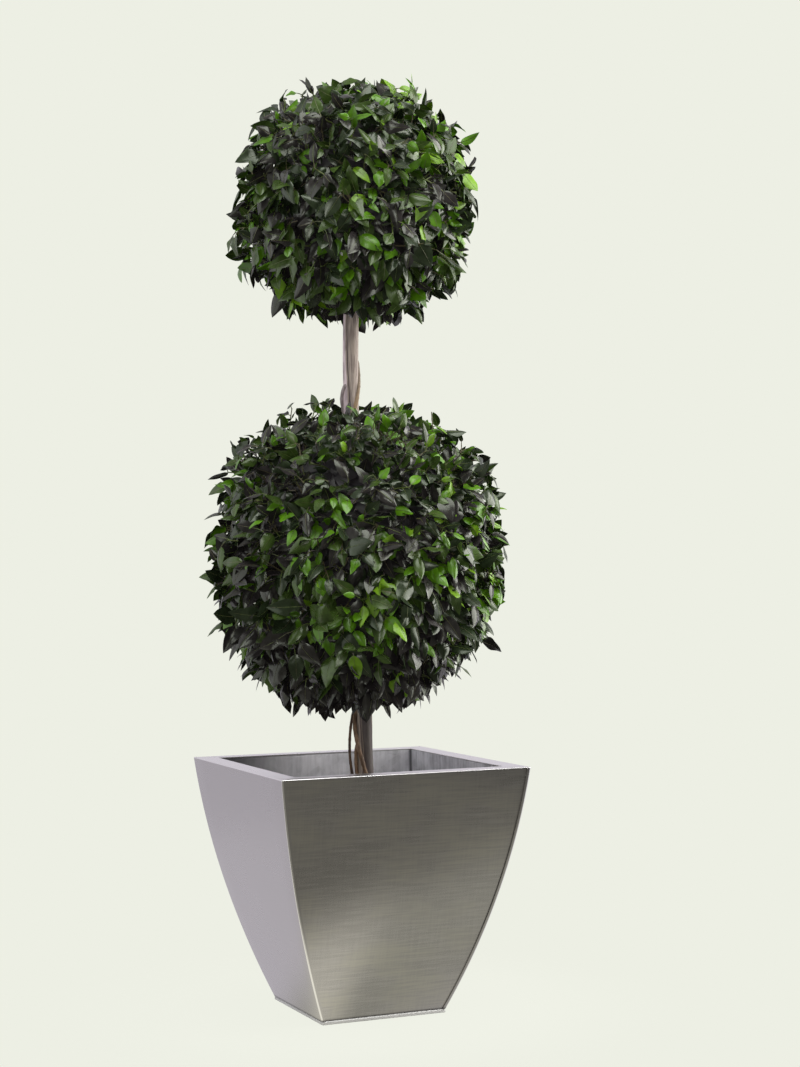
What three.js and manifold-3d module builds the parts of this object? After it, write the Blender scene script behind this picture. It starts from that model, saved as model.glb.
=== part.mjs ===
// Potted ivy topiary: two clipped balls of ivy on one bare trunk, in a square metal planter.
// Millimetres, +Z up. The origin is the middle of the planter's underside, and the front faces -Y.

import * as THREE from "three";
import { mergeVertices } from "three/addons/utils/BufferGeometryUtils.js";
import Module from "manifold-3d";

const wasm = await Module();
wasm.setup();

// Clearance between pieces that touch, how far a cutter runs past what it cuts, and how close
// corners are that count as one
const GAP = 0.3;
const OVERCUT = 2;
const SAME_CORNER = 1e-4;

// Planter: a square tapered box of sheet metal, whose sides swell along an arc
const PLANTER = {
  topHalf: 175,
  baseHalf: 87,
  height: 330,
  bulge: 12,
  sheet: 1.5,
  foldWidth: 5,
  flangeWidth: 28,
  arcLevels: 12,
};
const BASE_PLATE = { half: 88.5, thickness: 4.5 };
const LINER = { half: PLANTER.topHalf - PLANTER.flangeWidth, sheet: 1.5 };
const SOIL_BELOW_RIM = 45;
const SOIL_TOP = PLANTER.height - SOIL_BELOW_RIM;
const GROUND = SOIL_TOP + GAP;

// The plant leans to and fro in one upright plane, turned this far from the planter's front
const LEAN_TURN = THREE.MathUtils.degToRad(-22.8);
const LEAN_AXIS = new THREE.Vector3(Math.cos(LEAN_TURN), Math.sin(LEAN_TURN), 0);

// Trunk: height and lean of the points that its axis passes through, from the ground to the tip
const TRUNK = {
  axis: [[GROUND, 13], [319, 12], [389, 11], [605, 3], [822, -4], [934, -3], [1096, 0], [1130, 1]],
  footRadius: 10.8,
  tipRadius: 10,
  flare: 4,
  flareFade: 13,
  flutes: 3,
  fluteDepth: 0.06,
  fluteTwist: 0.012,
  sides: 12,
  ringsPerSpan: 4,
};

// Balls of foliage: each fills a rounded, slightly squared envelope that its leaf tips just reach
const BALLS = [
  {
    name: "lower_ball_foliage",
    lean: 4,
    height: 605,
    halfWidth: 214,
    halfHeight: 217,
    twigs: 38,
    coreLeaves: 112,
    seed: 5,
  },
  {
    name: "upper_ball_foliage",
    lean: 2,
    height: 1096,
    halfWidth: 175,
    halfHeight: 172,
    twigs: 27,
    coreLeaves: 78,
    seed: 2,
  },
];
const SQUARENESS = 2.3;
const CORE = { share: 0.84, lumps: 0.025, lumpWaves: [7, 6, 5], detail: 3, leafRootShare: 0.79 };
const TWIG = { rootShare: 0.7, tipShare: 0.95, radius: 5.5, sides: 3 };
const SHOOT = { count: 2, forkShare: 0.79, length: 38, spread: 1.3, radius: 4.4 };
const LEAF = {
  shortest: 38,
  longest: 58,
  widthShare: 0.64,
  widestAt: 0.4,
  thickness: 2.8,
  sideLift: 3,
  rootSink: 0.5,
  droop: 0.3,
  lifts: [0.9, 0.65, 0.45, 0.3, 0.15],
  turns: [0, 0.7, -0.7, 1.5, -1.5],
  placesAlong: [0.5, 0.74],
};

// Ivy stems that twine on the bare stretches and end where they enter the lower ball
// Turns are degrees round the trunk from LEAN_AXIS, at the bottom and at the top
const VINE_END_ROOM = 7;
const LOW_VINE_TOP = BALLS[0].height - CORE.share * BALLS[0].halfHeight - VINE_END_ROOM;
const HIGH_VINE_BOTTOM = BALLS[0].height + CORE.share * BALLS[0].halfHeight + VINE_END_ROOM;
const VINES = [
  { name: "vine_low_left", radius: 2.2, bottom: GROUND, top: LOW_VINE_TOP, turns: [193, 207], bow: 9 },
  { name: "vine_low_crossing", radius: 2.8, bottom: GROUND, top: 402, turns: [55, 184], bow: 1.6 },
  { name: "vine_low_short", radius: 1.8, bottom: GROUND, top: 357, turns: [138, 162], bow: 0.4 },
  { name: "vine_high_right", radius: 1.9, bottom: HIGH_VINE_BOTTOM, top: 884, turns: [84, -34], bow: 0.6 },
  { name: "vine_high_left", radius: 2, bottom: HIGH_VINE_BOTTOM, top: 844, turns: [226, 140], bow: 1 },
];
const VINE_SPANS = 6;
const VINE_SIDES = 8;
const VINE_STEPS = 10;

// Room that leaves and twigs keep: round the trunk and vines where bare, and off the trunk inside a ball
const LIMB_ROOM = { bare: 27, leafClear: 5 };
const GOLDEN_ANGLE = Math.PI * (3 - Math.sqrt(5));
const HALVINGS = 30;

// Materials
const BRUSHED_METAL = new THREE.MeshStandardMaterial({ color: 0x9c9a94, roughness: 0.38, metalness: 1 });
const GALVANISED = new THREE.MeshStandardMaterial({ color: 0x8f9194, roughness: 0.55, metalness: 1 });
const EARTH = new THREE.MeshStandardMaterial({ color: 0x33281f, roughness: 0.95, metalness: 0 });
const BARK = new THREE.MeshStandardMaterial({ color: 0x6f625b, roughness: 0.85, metalness: 0 });
const VINE_BARK = new THREE.MeshStandardMaterial({ color: 0x7d5c3d, roughness: 0.8, metalness: 0 });
const IVY_GREEN = new THREE.MeshStandardMaterial({ color: 0x2a3a1c, roughness: 0.45, metalness: 0 });

// Solids: a closed geometry becomes a solid that can be joined and cut, and comes back as a mesh

function toSolid(geometry) {
  geometry.deleteAttribute("normal");
  geometry.deleteAttribute("uv");
  const merged = mergeVertices(geometry, SAME_CORNER);
  return new wasm.Manifold(new wasm.Mesh({
    numProp: 3,
    vertProperties: new Float32Array(merged.attributes.position.array),
    triVerts: new Uint32Array(merged.index.array),
  }));
}

function toMesh(name, solid, material) {
  const { vertProperties, triVerts } = solid.getMesh();
  const geometry = new THREE.BufferGeometry();
  geometry.setAttribute("position", new THREE.BufferAttribute(vertProperties, 3));
  geometry.setIndex(new THREE.BufferAttribute(triVerts, 1));
  geometry.computeVertexNormals();
  const mesh = new THREE.Mesh(geometry, material);
  mesh.name = name;
  return mesh;
}

function joined(solids) {
  return wasm.Manifold.union(solids);
}

// The largest body's outer skin: loose scraps are dropped and sealed hollows filled
function wholeBody(solid) {
  const bodies = solid.decompose();
  return bodies.reduce((largest, body) => (body.volume() > largest.volume() ? body : largest));
}

function boxSolid(half, bottom, top) {
  const box = new THREE.BoxGeometry(2 * half, 2 * half, top - bottom);
  return toSolid(box.translate(0, 0, (bottom + top) / 2));
}

// Planter profile: half its width at a height, on an arc through the base and top edges
const sideArc = (() => {
  const { topHalf, baseHalf, height, bulge } = PLANTER;
  const chord = Math.hypot(topHalf - baseHalf, height);
  const radius = chord ** 2 / (8 * bulge) + bulge / 2;
  const inset = (radius - bulge) / chord;
  return {
    radius,
    half: (topHalf + baseHalf) / 2 - inset * height,
    height: height / 2 + inset * (topHalf - baseHalf),
  };
})();

function halfAt(height) {
  return sideArc.half + Math.sqrt(sideArc.radius ** 2 - (height - sideArc.height) ** 2);
}

function heightAt(half) {
  return sideArc.height - Math.sqrt(sideArc.radius ** 2 - (half - sideArc.half) ** 2);
}

// A slab across the planter, bounded by the two opposite curved sides moved in by an inset
function slab(axis, inset, bottom, top) {
  const step = PLANTER.height / PLANTER.arcLevels;
  const levels = Array.from({ length: PLANTER.arcLevels + 1 }, (_, i) => i * step);
  const heights = [bottom, ...levels.filter((level) => level > bottom + GAP && level < top - GAP), top];
  const right = heights.map((height) => new THREE.Vector2(halfAt(height) - inset, height));
  const left = right.map((point) => new THREE.Vector2(-point.x, point.y)).reverse();
  const depth = 3 * PLANTER.topHalf;
  const outline = new THREE.Shape([...right, ...left]);
  const geometry = new THREE.ExtrudeGeometry(outline, { depth, bevelEnabled: false });
  geometry.rotateX(Math.PI / 2).translate(0, depth / 2, 0);
  return toSolid(axis === "x" ? geometry : geometry.rotateZ(Math.PI / 2));
}

function block(inset, bottom, top) {
  return slab("x", inset, bottom, top).intersect(slab("y", inset, bottom, top));
}

// A quarter of the planter's plan, between its diagonals, that opens towards an angle
function quarter(turn, setBack) {
  const reach = 2 * PLANTER.topHalf;
  const outline = new THREE.Shape([
    new THREE.Vector2(setBack, 0),
    new THREE.Vector2(setBack + reach, -reach),
    new THREE.Vector2(setBack + reach, reach),
  ]);
  const geometry = new THREE.ExtrudeGeometry(outline, { depth: 2 * PLANTER.height, bevelEnabled: false });
  return toSolid(geometry.rotateZ(turn));
}

// The half of space that an angle points to
function halfSpace(turn) {
  const size = 4 * PLANTER.height;
  const box = new THREE.BoxGeometry(size, size, size).translate(size / 2, 0, 0);
  return toSolid(box.rotateZ(turn));
}

const PANEL_BOTTOM = BASE_PLATE.thickness + GAP;
const FLANGE_BOTTOM = PLANTER.height - PLANTER.sheet;
const CUT_BOTTOM = PANEL_BOTTOM - OVERCUT;
const CUT_TOP = PLANTER.height + OVERCUT;

// The rim's flat flange, folded inwards and mitred at the corners
function flange(inset, turn, setBack) {
  const plate = block(inset, FLANGE_BOTTOM, PLANTER.height);
  const hole = boxSolid(LINER.half, FLANGE_BOTTOM - OVERCUT, CUT_TOP);
  return plate.subtract(hole).intersect(quarter(turn, setBack));
}

// A side panel wraps its front and back edges on to the neighbouring panels
function sidePanel(name, turn) {
  const { sheet, foldWidth, height } = PLANTER;
  const outer = block(0, PANEL_BOTTOM, height);
  const walls = outer.subtract(slab("x", sheet, CUT_BOTTOM, CUT_TOP));
  const folds = outer.subtract(slab("x", foldWidth, CUT_BOTTOM, CUT_TOP))
    .subtract(slab("y", sheet, CUT_BOTTOM, CUT_TOP));
  const panel = walls.add(folds).intersect(halfSpace(turn)).add(flange(0, turn, 0));
  return toMesh(name, panel, BRUSHED_METAL);
}

// A front or back panel stands between the side panels, behind their folded edges
function facePanel(name, turn) {
  const { sheet, height } = PLANTER;
  const behindFold = sheet + GAP;
  const mitreSetBack = GAP * Math.SQRT2;
  const hollow = slab("y", behindFold + sheet, CUT_BOTTOM, CUT_TOP);
  const wall = block(behindFold, PANEL_BOTTOM, FLANGE_BOTTOM - GAP).subtract(hollow)
    .intersect(halfSpace(turn));
  const head = block(behindFold, FLANGE_BOTTOM - OVERCUT, height).subtract(hollow)
    .intersect(quarter(turn, mitreSetBack));
  return toMesh(name, joined([wall, head, flange(behindFold, turn, mitreSetBack)]), BRUSHED_METAL);
}

function basePlate() {
  return toMesh("base_plate", boxSolid(BASE_PLATE.half, 0, BASE_PLATE.thickness), BRUSHED_METAL);
}

// The liner is a straight open box under the flange, wedged where the curved panels close in on it
const LINER_OUTER = LINER.half + LINER.sheet;
const LINER_BOTTOM = heightAt(LINER_OUTER + 2 * PLANTER.sheet + 2 * GAP);
const LINER_FLOOR = LINER_BOTTOM + LINER.sheet;

function liner() {
  const outside = boxSolid(LINER_OUTER, LINER_BOTTOM, FLANGE_BOTTOM - GAP);
  const inside = boxSolid(LINER.half, LINER_FLOOR, CUT_TOP);
  return toMesh("liner", outside.subtract(inside), GALVANISED);
}

function soil() {
  return toMesh("soil", boxSolid(LINER.half - GAP, LINER_FLOOR + GAP, SOIL_TOP), EARTH);
}

// Trunk

function leaning(lean, height) {
  return LEAN_AXIS.clone().multiplyScalar(lean).setZ(height);
}

const trunkAxis = new THREE.CatmullRomCurve3(TRUNK.axis.map(([height, lean]) => leaning(lean, height)));
const TRUNK_TIP = TRUNK.axis.at(-1)[0];

// The point of the trunk's axis at a height, found by halving the curve
function trunkCentre(height) {
  let low = 0;
  let high = 1;
  for (let i = 0; i < HALVINGS; i += 1) {
    const middle = (low + high) / 2;
    if (trunkAxis.getPoint(middle).z < height) low = middle;
    else high = middle;
  }
  return trunkAxis.getPoint(low);
}

// Even taper from foot to tip, with a root flare that fades within a few widths of the ground
function trunkRadius(height) {
  const share = (height - GROUND) / (TRUNK_TIP - GROUND);
  const taper = THREE.MathUtils.lerp(TRUNK.footRadius, TRUNK.tipRadius, share);
  return taper + TRUNK.flare * Math.exp(-(height - GROUND) / TRUNK.flareFade);
}

// The radius waves round the trunk like stems that have grown together
function flutedRadius(height, angle) {
  const phase = TRUNK.flutes * angle + TRUNK.fluteTwist * height;
  return trunkRadius(height) * (1 + TRUNK.fluteDepth * Math.cos(phase));
}

// Level rings along the axis
function trunkSolid(grow) {
  const rings = (TRUNK.axis.length - 1) * TRUNK.ringsPerSpan;
  const geometry = new THREE.CylinderGeometry(1, 1, 1, TRUNK.sides, rings).rotateX(Math.PI / 2);
  const place = geometry.attributes.position;
  for (let i = 0; i < place.count; i += 1) {
    const centre = trunkAxis.getPoint(THREE.MathUtils.clamp(place.getZ(i) + 0.5, 0, 1));
    const across = new THREE.Vector2(place.getX(i), place.getY(i));
    const radius = flutedRadius(centre.z, across.angle()) + grow;
    place.setXYZ(i, centre.x + across.x * radius, centre.y + across.y * radius, centre.z);
  }
  return toSolid(geometry);
}

// Vines

function vine({ name, radius, bottom, top, turns, bow }) {
  const path = Array.from({ length: VINE_SPANS + 1 }, (_, i) => {
    const share = i / VINE_SPANS;
    const height = THREE.MathUtils.lerp(bottom - radius, top, share);
    const level = Math.max(height, GROUND);
    const angle = LEAN_TURN - THREE.MathUtils.degToRad(THREE.MathUtils.lerp(...turns, share));
    const standoff = flutedRadius(level, angle) + GAP + radius + bow * Math.sin(Math.PI * share);
    const out = new THREE.Vector3(Math.cos(angle), Math.sin(angle), 0);
    return trunkCentre(level).setZ(height).addScaledVector(out, standoff);
  });
  const section = new THREE.Shape();
  section.absarc(0, 0, radius, 0, 2 * Math.PI);
  const geometry = new THREE.ExtrudeGeometry(section, {
    extrudePath: new THREE.CatmullRomCurve3(path),
    steps: VINE_STEPS,
    curveSegments: VINE_SIDES / 2,
  });
  const earth = boxSolid(LINER.half, LINER_BOTTOM, GROUND);
  return toMesh(name, wholeBody(toSolid(geometry).subtract(earth)), VINE_BARK);
}

// Foliage

// A repeatable stream of numbers from 0 to 1 for one seed
function seededRandom(seed) {
  let state = seed;
  return () => {
    state = (state + 0x6d2b79f5) | 0;
    let mixed = Math.imul(state ^ (state >>> 15), 1 | state);
    mixed = (mixed + Math.imul(mixed ^ (mixed >>> 7), 61 | mixed)) ^ mixed;
    return ((mixed ^ (mixed >>> 14)) >>> 0) / 4294967296;
  };
}

// How far a ball's envelope lies from its centre along a direction
function reachAlong(ball, direction) {
  const across = Math.hypot(direction.x, direction.y) / ball.halfWidth;
  const upright = Math.abs(direction.z) / ball.halfHeight;
  return (across ** SQUARENESS + upright ** SQUARENESS) ** (-1 / SQUARENESS);
}

function insideBall(ball, centre, point) {
  const offset = point.clone().sub(centre);
  const distance = offset.length();
  return distance <= reachAlong(ball, offset.divideScalar(distance));
}

// Whether a point keeps off the trunk, and off the vines where they climb the bare stretches
function clearOfLimbs(ball, point) {
  if (point.z > TRUNK_TIP + LIMB_ROOM.leafClear) return true;
  const height = Math.max(point.z, GROUND);
  const axis = trunkCentre(height);
  const outsideCore = Math.abs(height - ball.height) > CORE.share * ball.halfHeight - LIMB_ROOM.leafClear;
  const room = outsideCore ? LIMB_ROOM.bare : trunkRadius(height) + LIMB_ROOM.leafClear;
  return Math.hypot(point.x - axis.x, point.y - axis.y) > room;
}

// The dense inside of a ball: a lumpy sphere shrunk from the envelope
function coreSolid(ball, centre) {
  const geometry = new THREE.IcosahedronGeometry(1, CORE.detail);
  const place = geometry.attributes.position;
  for (let i = 0; i < place.count; i += 1) {
    const direction = new THREE.Vector3().fromBufferAttribute(place, i).normalize();
    const [waveX, waveY, waveZ] = direction.toArray().map((value, axis) => value * CORE.lumpWaves[axis]);
    const lump = Math.sin(waveX + ball.seed) * Math.sin(waveY) * Math.cos(waveZ);
    const distance = reachAlong(ball, direction) * CORE.share * (1 + CORE.lumps * lump);
    place.setXYZ(i, ...centre.clone().addScaledVector(direction, distance));
  }
  return toSolid(geometry);
}

// A level direction square to another one, or any level direction where that one is upright
function levelAcross(direction) {
  const across = new THREE.Vector3(-direction.y, direction.x, 0);
  return across.lengthSq() > SAME_CORNER ? across.normalize() : across.set(1, 0, 0);
}

// A straight three-sided stick that tapers from its start to a point
function stick(start, end, radius) {
  const along = end.clone().sub(start);
  const geometry = new THREE.ConeGeometry(radius, along.length(), TWIG.sides);
  const upright = new THREE.Vector3(0, 1, 0);
  geometry.applyQuaternion(new THREE.Quaternion().setFromUnitVectors(upright, along.clone().normalize()));
  return toSolid(geometry.translate(...start.clone().addScaledVector(along, 0.5)));
}

// The six corners of a leaf: root, tip, two raised sides, and the middle of its upper and lower face
function leafCorners(root, along, facing, length) {
  const across = new THREE.Vector3().crossVectors(facing, along).normalize();
  const normal = new THREE.Vector3().crossVectors(along, across);
  const point = (alongBy, acrossBy, normalBy) => root.clone().addScaledVector(along, alongBy)
    .addScaledVector(across, acrossBy).addScaledVector(normal, normalBy);
  const halfWidth = (length * LEAF.widthShare) / 2;
  const widest = length * LEAF.widestAt;
  return {
    root: point(-LEAF.rootSink, 0, 0),
    tip: point(length, 0, 0),
    left: point(widest, -halfWidth, LEAF.sideLift),
    right: point(widest, halfWidth, LEAF.sideLift),
    upper: point(widest, 0, LEAF.thickness / 2),
    lower: point(widest, 0, -LEAF.thickness / 2),
  };
}

function leafSolid(corners) {
  const { root, tip, left, right, upper, lower } = corners;
  const ends = [[tip, root], [right, left], [upper, lower]];
  const geometry = new THREE.OctahedronGeometry(1);
  const place = geometry.attributes.position;
  for (let i = 0; i < place.count; i += 1) {
    const corner = [place.getX(i), place.getY(i), place.getZ(i)];
    const axis = corner.findIndex((value) => Math.abs(value) > 0.5);
    place.setXYZ(i, ...ends[axis][corner[axis] > 0 ? 0 : 1]);
  }
  return toSolid(geometry);
}

// How far a ray from a point inside a ball runs before it leaves the envelope
function roomAlong(ball, centre, start, along) {
  let low = 0;
  let high = 2 * ball.halfWidth;
  for (let i = 0; i < HALVINGS; i += 1) {
    const middle = (low + high) / 2;
    if (insideBall(ball, centre, start.clone().addScaledVector(along, middle))) low = middle;
    else high = middle;
  }
  return low;
}

function crossesAny(solid, others) {
  const { min, max } = solid.boundingBox();
  return others.some((other) => {
    const box = other.boundingBox();
    const near = min.every((low, axis) => low < box.max[axis] && max[axis] > box.min[axis]);
    return near && !solid.intersect(other).isEmpty();
  });
}

// A leaf lies over the ball like a shingle, its tip on the envelope where it is long enough, and
// turns or lies flatter where it would leave the ball, touch a limb or cut through another leaf
function placeLeaf(ball, centre, root, startTurn, leaves) {
  const outward = root.clone().sub(centre).normalize();
  const level = levelAcross(outward);
  for (const extraTurn of LEAF.turns) {
    const sideways = level.clone().applyAxisAngle(outward, startTurn + extraTurn);
    for (const lift of LEAF.lifts) {
      const along = sideways.clone().addScaledVector(outward, lift);
      along.z -= LEAF.droop;
      along.normalize();
      const room = roomAlong(ball, centre, root, along);
      if (room < LEAF.shortest) continue;
      const corners = leafCorners(root, along, outward, Math.min(room, LEAF.longest));
      const within = insideBall(ball, centre, corners.left) && insideBall(ball, centre, corners.right);
      if (!within || !Object.values(corners).every((corner) => clearOfLimbs(ball, corner))) continue;
      const leaf = leafSolid(corners);
      if (crossesAny(leaf, leaves)) continue;
      leaves.push(leaf);
      return;
    }
  }
}

// A stick with leaves at places along it, each turned on from the last by the golden angle
function growStick(ball, centre, stem, startTurn, sticks, leaves) {
  const { start, end, radius } = stem;
  if (![start, end].every((point) => clearOfLimbs(ball, point)) || !insideBall(ball, centre, end)) return;
  sticks.push(stick(start, end, radius));
  LEAF.placesAlong.forEach((share, order) => {
    const root = start.clone().lerp(end, share);
    placeLeaf(ball, centre, root, startTurn + order * GOLDEN_ANGLE, leaves);
  });
}

// One twig: a stem straight out of the core, and shoots that fork from it just under the core's skin
function growTwig(ball, centre, direction, random, sticks, leaves) {
  const reach = reachAlong(ball, direction);
  const outBy = (share) => centre.clone().addScaledVector(direction, reach * share);
  const startTurn = 2 * Math.PI * random();
  const stem = { start: outBy(TWIG.rootShare), end: outBy(TWIG.tipShare), radius: TWIG.radius };
  growStick(ball, centre, stem, startTurn, sticks, leaves);
  const fork = outBy(SHOOT.forkShare);
  const sideways = levelAcross(direction);
  for (let i = 0; i < SHOOT.count; i += 1) {
    const turn = startTurn + (2 * Math.PI * i) / SHOOT.count;
    const away = sideways.clone().applyAxisAngle(direction, turn).multiplyScalar(SHOOT.spread);
    const end = fork.clone().addScaledVector(away.add(direction).normalize(), SHOOT.length);
    growStick(ball, centre, { start: fork, end, radius: SHOOT.radius }, turn, sticks, leaves);
  }
}

// A direction out of many that are spread evenly all round
function evenDirection(order, count, turn) {
  const upright = 1 - (2 * (order + 0.5)) / count;
  const level = Math.sqrt(1 - upright ** 2);
  const angle = turn + order * GOLDEN_ANGLE;
  return new THREE.Vector3(level * Math.cos(angle), level * Math.sin(angle), upright);
}

// Twigs and single leaves stand all round the core, and the whole ball is cut clear of the trunk
function foliage(ball, trunkSpace) {
  const centre = leaning(ball.lean, ball.height);
  const random = seededRandom(ball.seed);
  const sticks = [];
  const leaves = [];
  for (let i = 0; i < ball.twigs; i += 1) {
    growTwig(ball, centre, evenDirection(i, ball.twigs, 0), random, sticks, leaves);
  }
  for (let i = 0; i < ball.coreLeaves; i += 1) {
    const direction = evenDirection(i, ball.coreLeaves, random());
    const root = centre.clone().addScaledVector(direction, reachAlong(ball, direction) * CORE.leafRootShare);
    placeLeaf(ball, centre, root, 2 * Math.PI * random(), leaves);
  }
  const mass = joined([coreSolid(ball, centre), ...sticks, ...leaves]);
  return toMesh(ball.name, wholeBody(mass.subtract(trunkSpace)), IVY_GREEN);
}

// Assembly

const planter = new THREE.Group();
planter.add(
  basePlate(),
  sidePanel("side_panel_right", 0),
  sidePanel("side_panel_left", Math.PI),
  facePanel("back_panel", Math.PI / 2),
  facePanel("front_panel", -Math.PI / 2),
  liner(),
  soil(),
);

const plant = new THREE.Group();
const trunkSpace = trunkSolid(GAP);
plant.add(toMesh("trunk", trunkSolid(0), BARK));
plant.add(...VINES.map(vine));
plant.add(...BALLS.map((ball) => foliage(ball, trunkSpace)));

const topiary = new THREE.Group();
topiary.add(planter, plant);

export default topiary;
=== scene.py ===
"""Looks of the potted ivy topiary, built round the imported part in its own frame.

Metres, +Z up, the planter's front to -Y. Sheet metal, soil, bark and every leaf are surfaces worked
out with numpy, and the foliage grows by the same rule as the solid it stands for, to finer twigs.
"""

import logging
from dataclasses import dataclass
from enum import Enum, IntEnum
from typing import ClassVar

import bpy
import numpy as np
from mathutils import Matrix, Vector


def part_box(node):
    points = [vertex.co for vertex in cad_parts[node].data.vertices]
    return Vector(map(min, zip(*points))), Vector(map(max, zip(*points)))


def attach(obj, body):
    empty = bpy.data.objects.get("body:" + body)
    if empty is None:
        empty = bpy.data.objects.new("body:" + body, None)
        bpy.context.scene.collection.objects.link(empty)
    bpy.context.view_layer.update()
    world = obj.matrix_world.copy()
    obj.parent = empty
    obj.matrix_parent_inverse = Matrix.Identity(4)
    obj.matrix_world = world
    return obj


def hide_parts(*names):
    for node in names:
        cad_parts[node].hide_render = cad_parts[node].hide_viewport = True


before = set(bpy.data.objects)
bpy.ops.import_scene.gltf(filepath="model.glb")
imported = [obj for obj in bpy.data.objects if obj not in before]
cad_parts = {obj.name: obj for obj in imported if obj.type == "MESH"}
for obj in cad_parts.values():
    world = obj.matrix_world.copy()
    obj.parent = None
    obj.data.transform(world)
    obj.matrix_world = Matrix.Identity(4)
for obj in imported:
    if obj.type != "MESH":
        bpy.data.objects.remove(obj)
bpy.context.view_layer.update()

LOG = logging.getLogger("ivy_topiary")
ROOT = "root"
MM = 0.001
GAP = 0.3 * MM
FULL_TURN = 2.0 * np.pi
GOLDEN_ANGLE = np.pi * (3.0 - np.sqrt(5.0))
UP = np.array([0.0, 0.0, 1.0])
Array = np.ndarray
Span = tuple[float, float]
Triple = tuple[float, float, float]
Colour = Triple


class Seed(IntEnum):
    """Which noise, or which stream of random numbers, a thing is drawn from."""

    FURROW = 3
    GRAIN = 5
    SWELL = 8
    SOIL = 11
    VINE = 21
    CRUMB = 41


class Crease(Enum):
    """The bend in degrees beyond which an edge of each kind of surface stays sharp."""

    SHEET = 40.0
    LEAF = 50.0
    ROUGH = 60.0
    BARK = 70.0
    RIB = 80.0


# Plain maths on whole arrays


def unit(vectors: Array) -> Array:
    """Vectors divided by their own length, along the last axis."""
    return vectors / np.maximum(np.linalg.norm(vectors, axis=-1, keepdims=True), 1e-12)


def hump(values: Array, middle: float, width: float) -> Array:
    """A smooth hump that is 1 at its middle: exp(-((value - middle) / width)^2)."""
    return np.exp(-(((values - middle) / width) ** 2))


def round_angles(count: int) -> Array:
    """Angles spaced evenly round a full turn."""
    return FULL_TURN * np.arange(count) / count


def quarter_turn(steps: int) -> Array:
    """Angles from nothing to a right angle."""
    return np.linspace(0.0, np.pi / 2.0, steps)


def level_way(angles: Array | float) -> Array:
    """Level unit vectors at angles from +X: (cos, sin, 0)."""
    return np.stack([np.cos(angles), np.sin(angles), np.zeros(np.shape(angles))], axis=-1)


def corner_values(cells: Array, seed: int) -> Array:
    """A repeatable value from -1 to 1 for each whole-number corner, by mixing its numbers' bits.

    Args:
        cells: Whole numbers, the last axis holding x, y and z.
        seed: Which set of values.

    Returns:
        One value for each corner.
    """
    mask = 0x7FFFFFFF
    mixed = (cells @ np.array([73856093, 19349663, 83492791]) + int(seed) * 40503) & mask
    for shift, factor in ((13, 1274126177), (15, 668265263)):
        mixed = ((mixed ^ (mixed >> shift)) * factor) & mask
    return ((mixed >> 8) & 0xFFFF) / 32767.5 - 1.0


def smooth_noise(points: Array, seed: int) -> Array:
    """Noise from -1 to 1: values at whole-number corners, blended by 3t^2 - 2t^3 along each axis.

    Args:
        points: Places in units of one noise cell, the last axis holding x, y and z.
        seed: Which noise.

    Returns:
        One value for each place.
    """
    cell = np.floor(points).astype(np.int64)
    part = points - cell
    blend = part * part * (3.0 - 2.0 * part)
    total = np.zeros(points.shape[:-1])
    for corner in np.ndindex(2, 2, 2):
        offset = np.array(corner)
        weight = np.prod(np.where(offset == 1, blend, 1.0 - blend), axis=-1)
        total += weight * corner_values(cell + offset, seed)
    return total


def even_directions(count: int, turn: float) -> Array:
    """Directions spread evenly all round: equal steps in height, each turned on by the golden angle.

    Args:
        count: How many.
        turn: The first one's angle about the upright axis.

    Returns:
        Unit vectors, one row each.
    """
    order = np.arange(count)
    upright = 1.0 - 2.0 * (order + 0.5) / count
    level = np.sqrt(1.0 - upright**2)
    return level[:, None] * level_way(turn + order * GOLDEN_ANGLE) + upright[:, None] * UP


def level_across(directions: Array) -> Array:
    """A level unit vector square to each direction, or +X where that direction is upright.

    Args:
        directions: Unit vectors, one row each.

    Returns:
        Unit vectors, one row each.
    """
    across = np.stack([-directions[:, 1], directions[:, 0], np.zeros(len(directions))], axis=1)
    flat = np.linalg.norm(across, axis=1, keepdims=True) < 1e-4
    return unit(np.where(flat, np.array([1.0, 0.0, 0.0]), across))


def bent_lines(ends: Array, shares: Array) -> Array:
    """Points on bent lines: (1-s)^2 start + 2s(1-s) middle + s^2 end, for each share s.

    Args:
        ends: Start, middle and end of each line, shaped (lines, 3, 3).
        shares: How far along, shaped (lines, places) or (places,).

    Returns:
        Points shaped (lines, places, 3).
    """
    share = np.broadcast_to(shares, (len(ends), np.shape(shares)[-1]))[..., None]
    start, middle, end = ends[:, None, 0], ends[:, None, 1], ends[:, None, 2]
    return (1.0 - share) ** 2 * start + 2.0 * share * (1.0 - share) * middle + share**2 * end


# Surfaces


@dataclass
class Shell:
    """A surface: its points, and its faces as arrays of corner numbers, one row for each face."""

    points: Array
    faces: list[Array]

    def turned(self, angle: float) -> "Shell":
        """The same surface turned about the upright axis.

        Args:
            angle: How far.

        Returns:
            The turned surface.
        """
        cos, sin = np.cos(angle), np.sin(angle)
        spin = np.array([[cos, -sin, 0.0], [sin, cos, 0.0], [0.0, 0.0, 1.0]])
        return Shell(self.points @ spin.T, self.faces)


def join_shells(shells: list[Shell]) -> Shell:
    """Several surfaces as one, with their corner numbers carried on.

    Args:
        shells: The surfaces.

    Returns:
        The joined surface.
    """
    starts = np.cumsum([0] + [len(shell.points) for shell in shells[:-1]])
    faces = [group + start for shell, start in zip(shells, starts) for group in shell.faces]
    return Shell(np.concatenate([shell.points for shell in shells]), faces)


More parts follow.
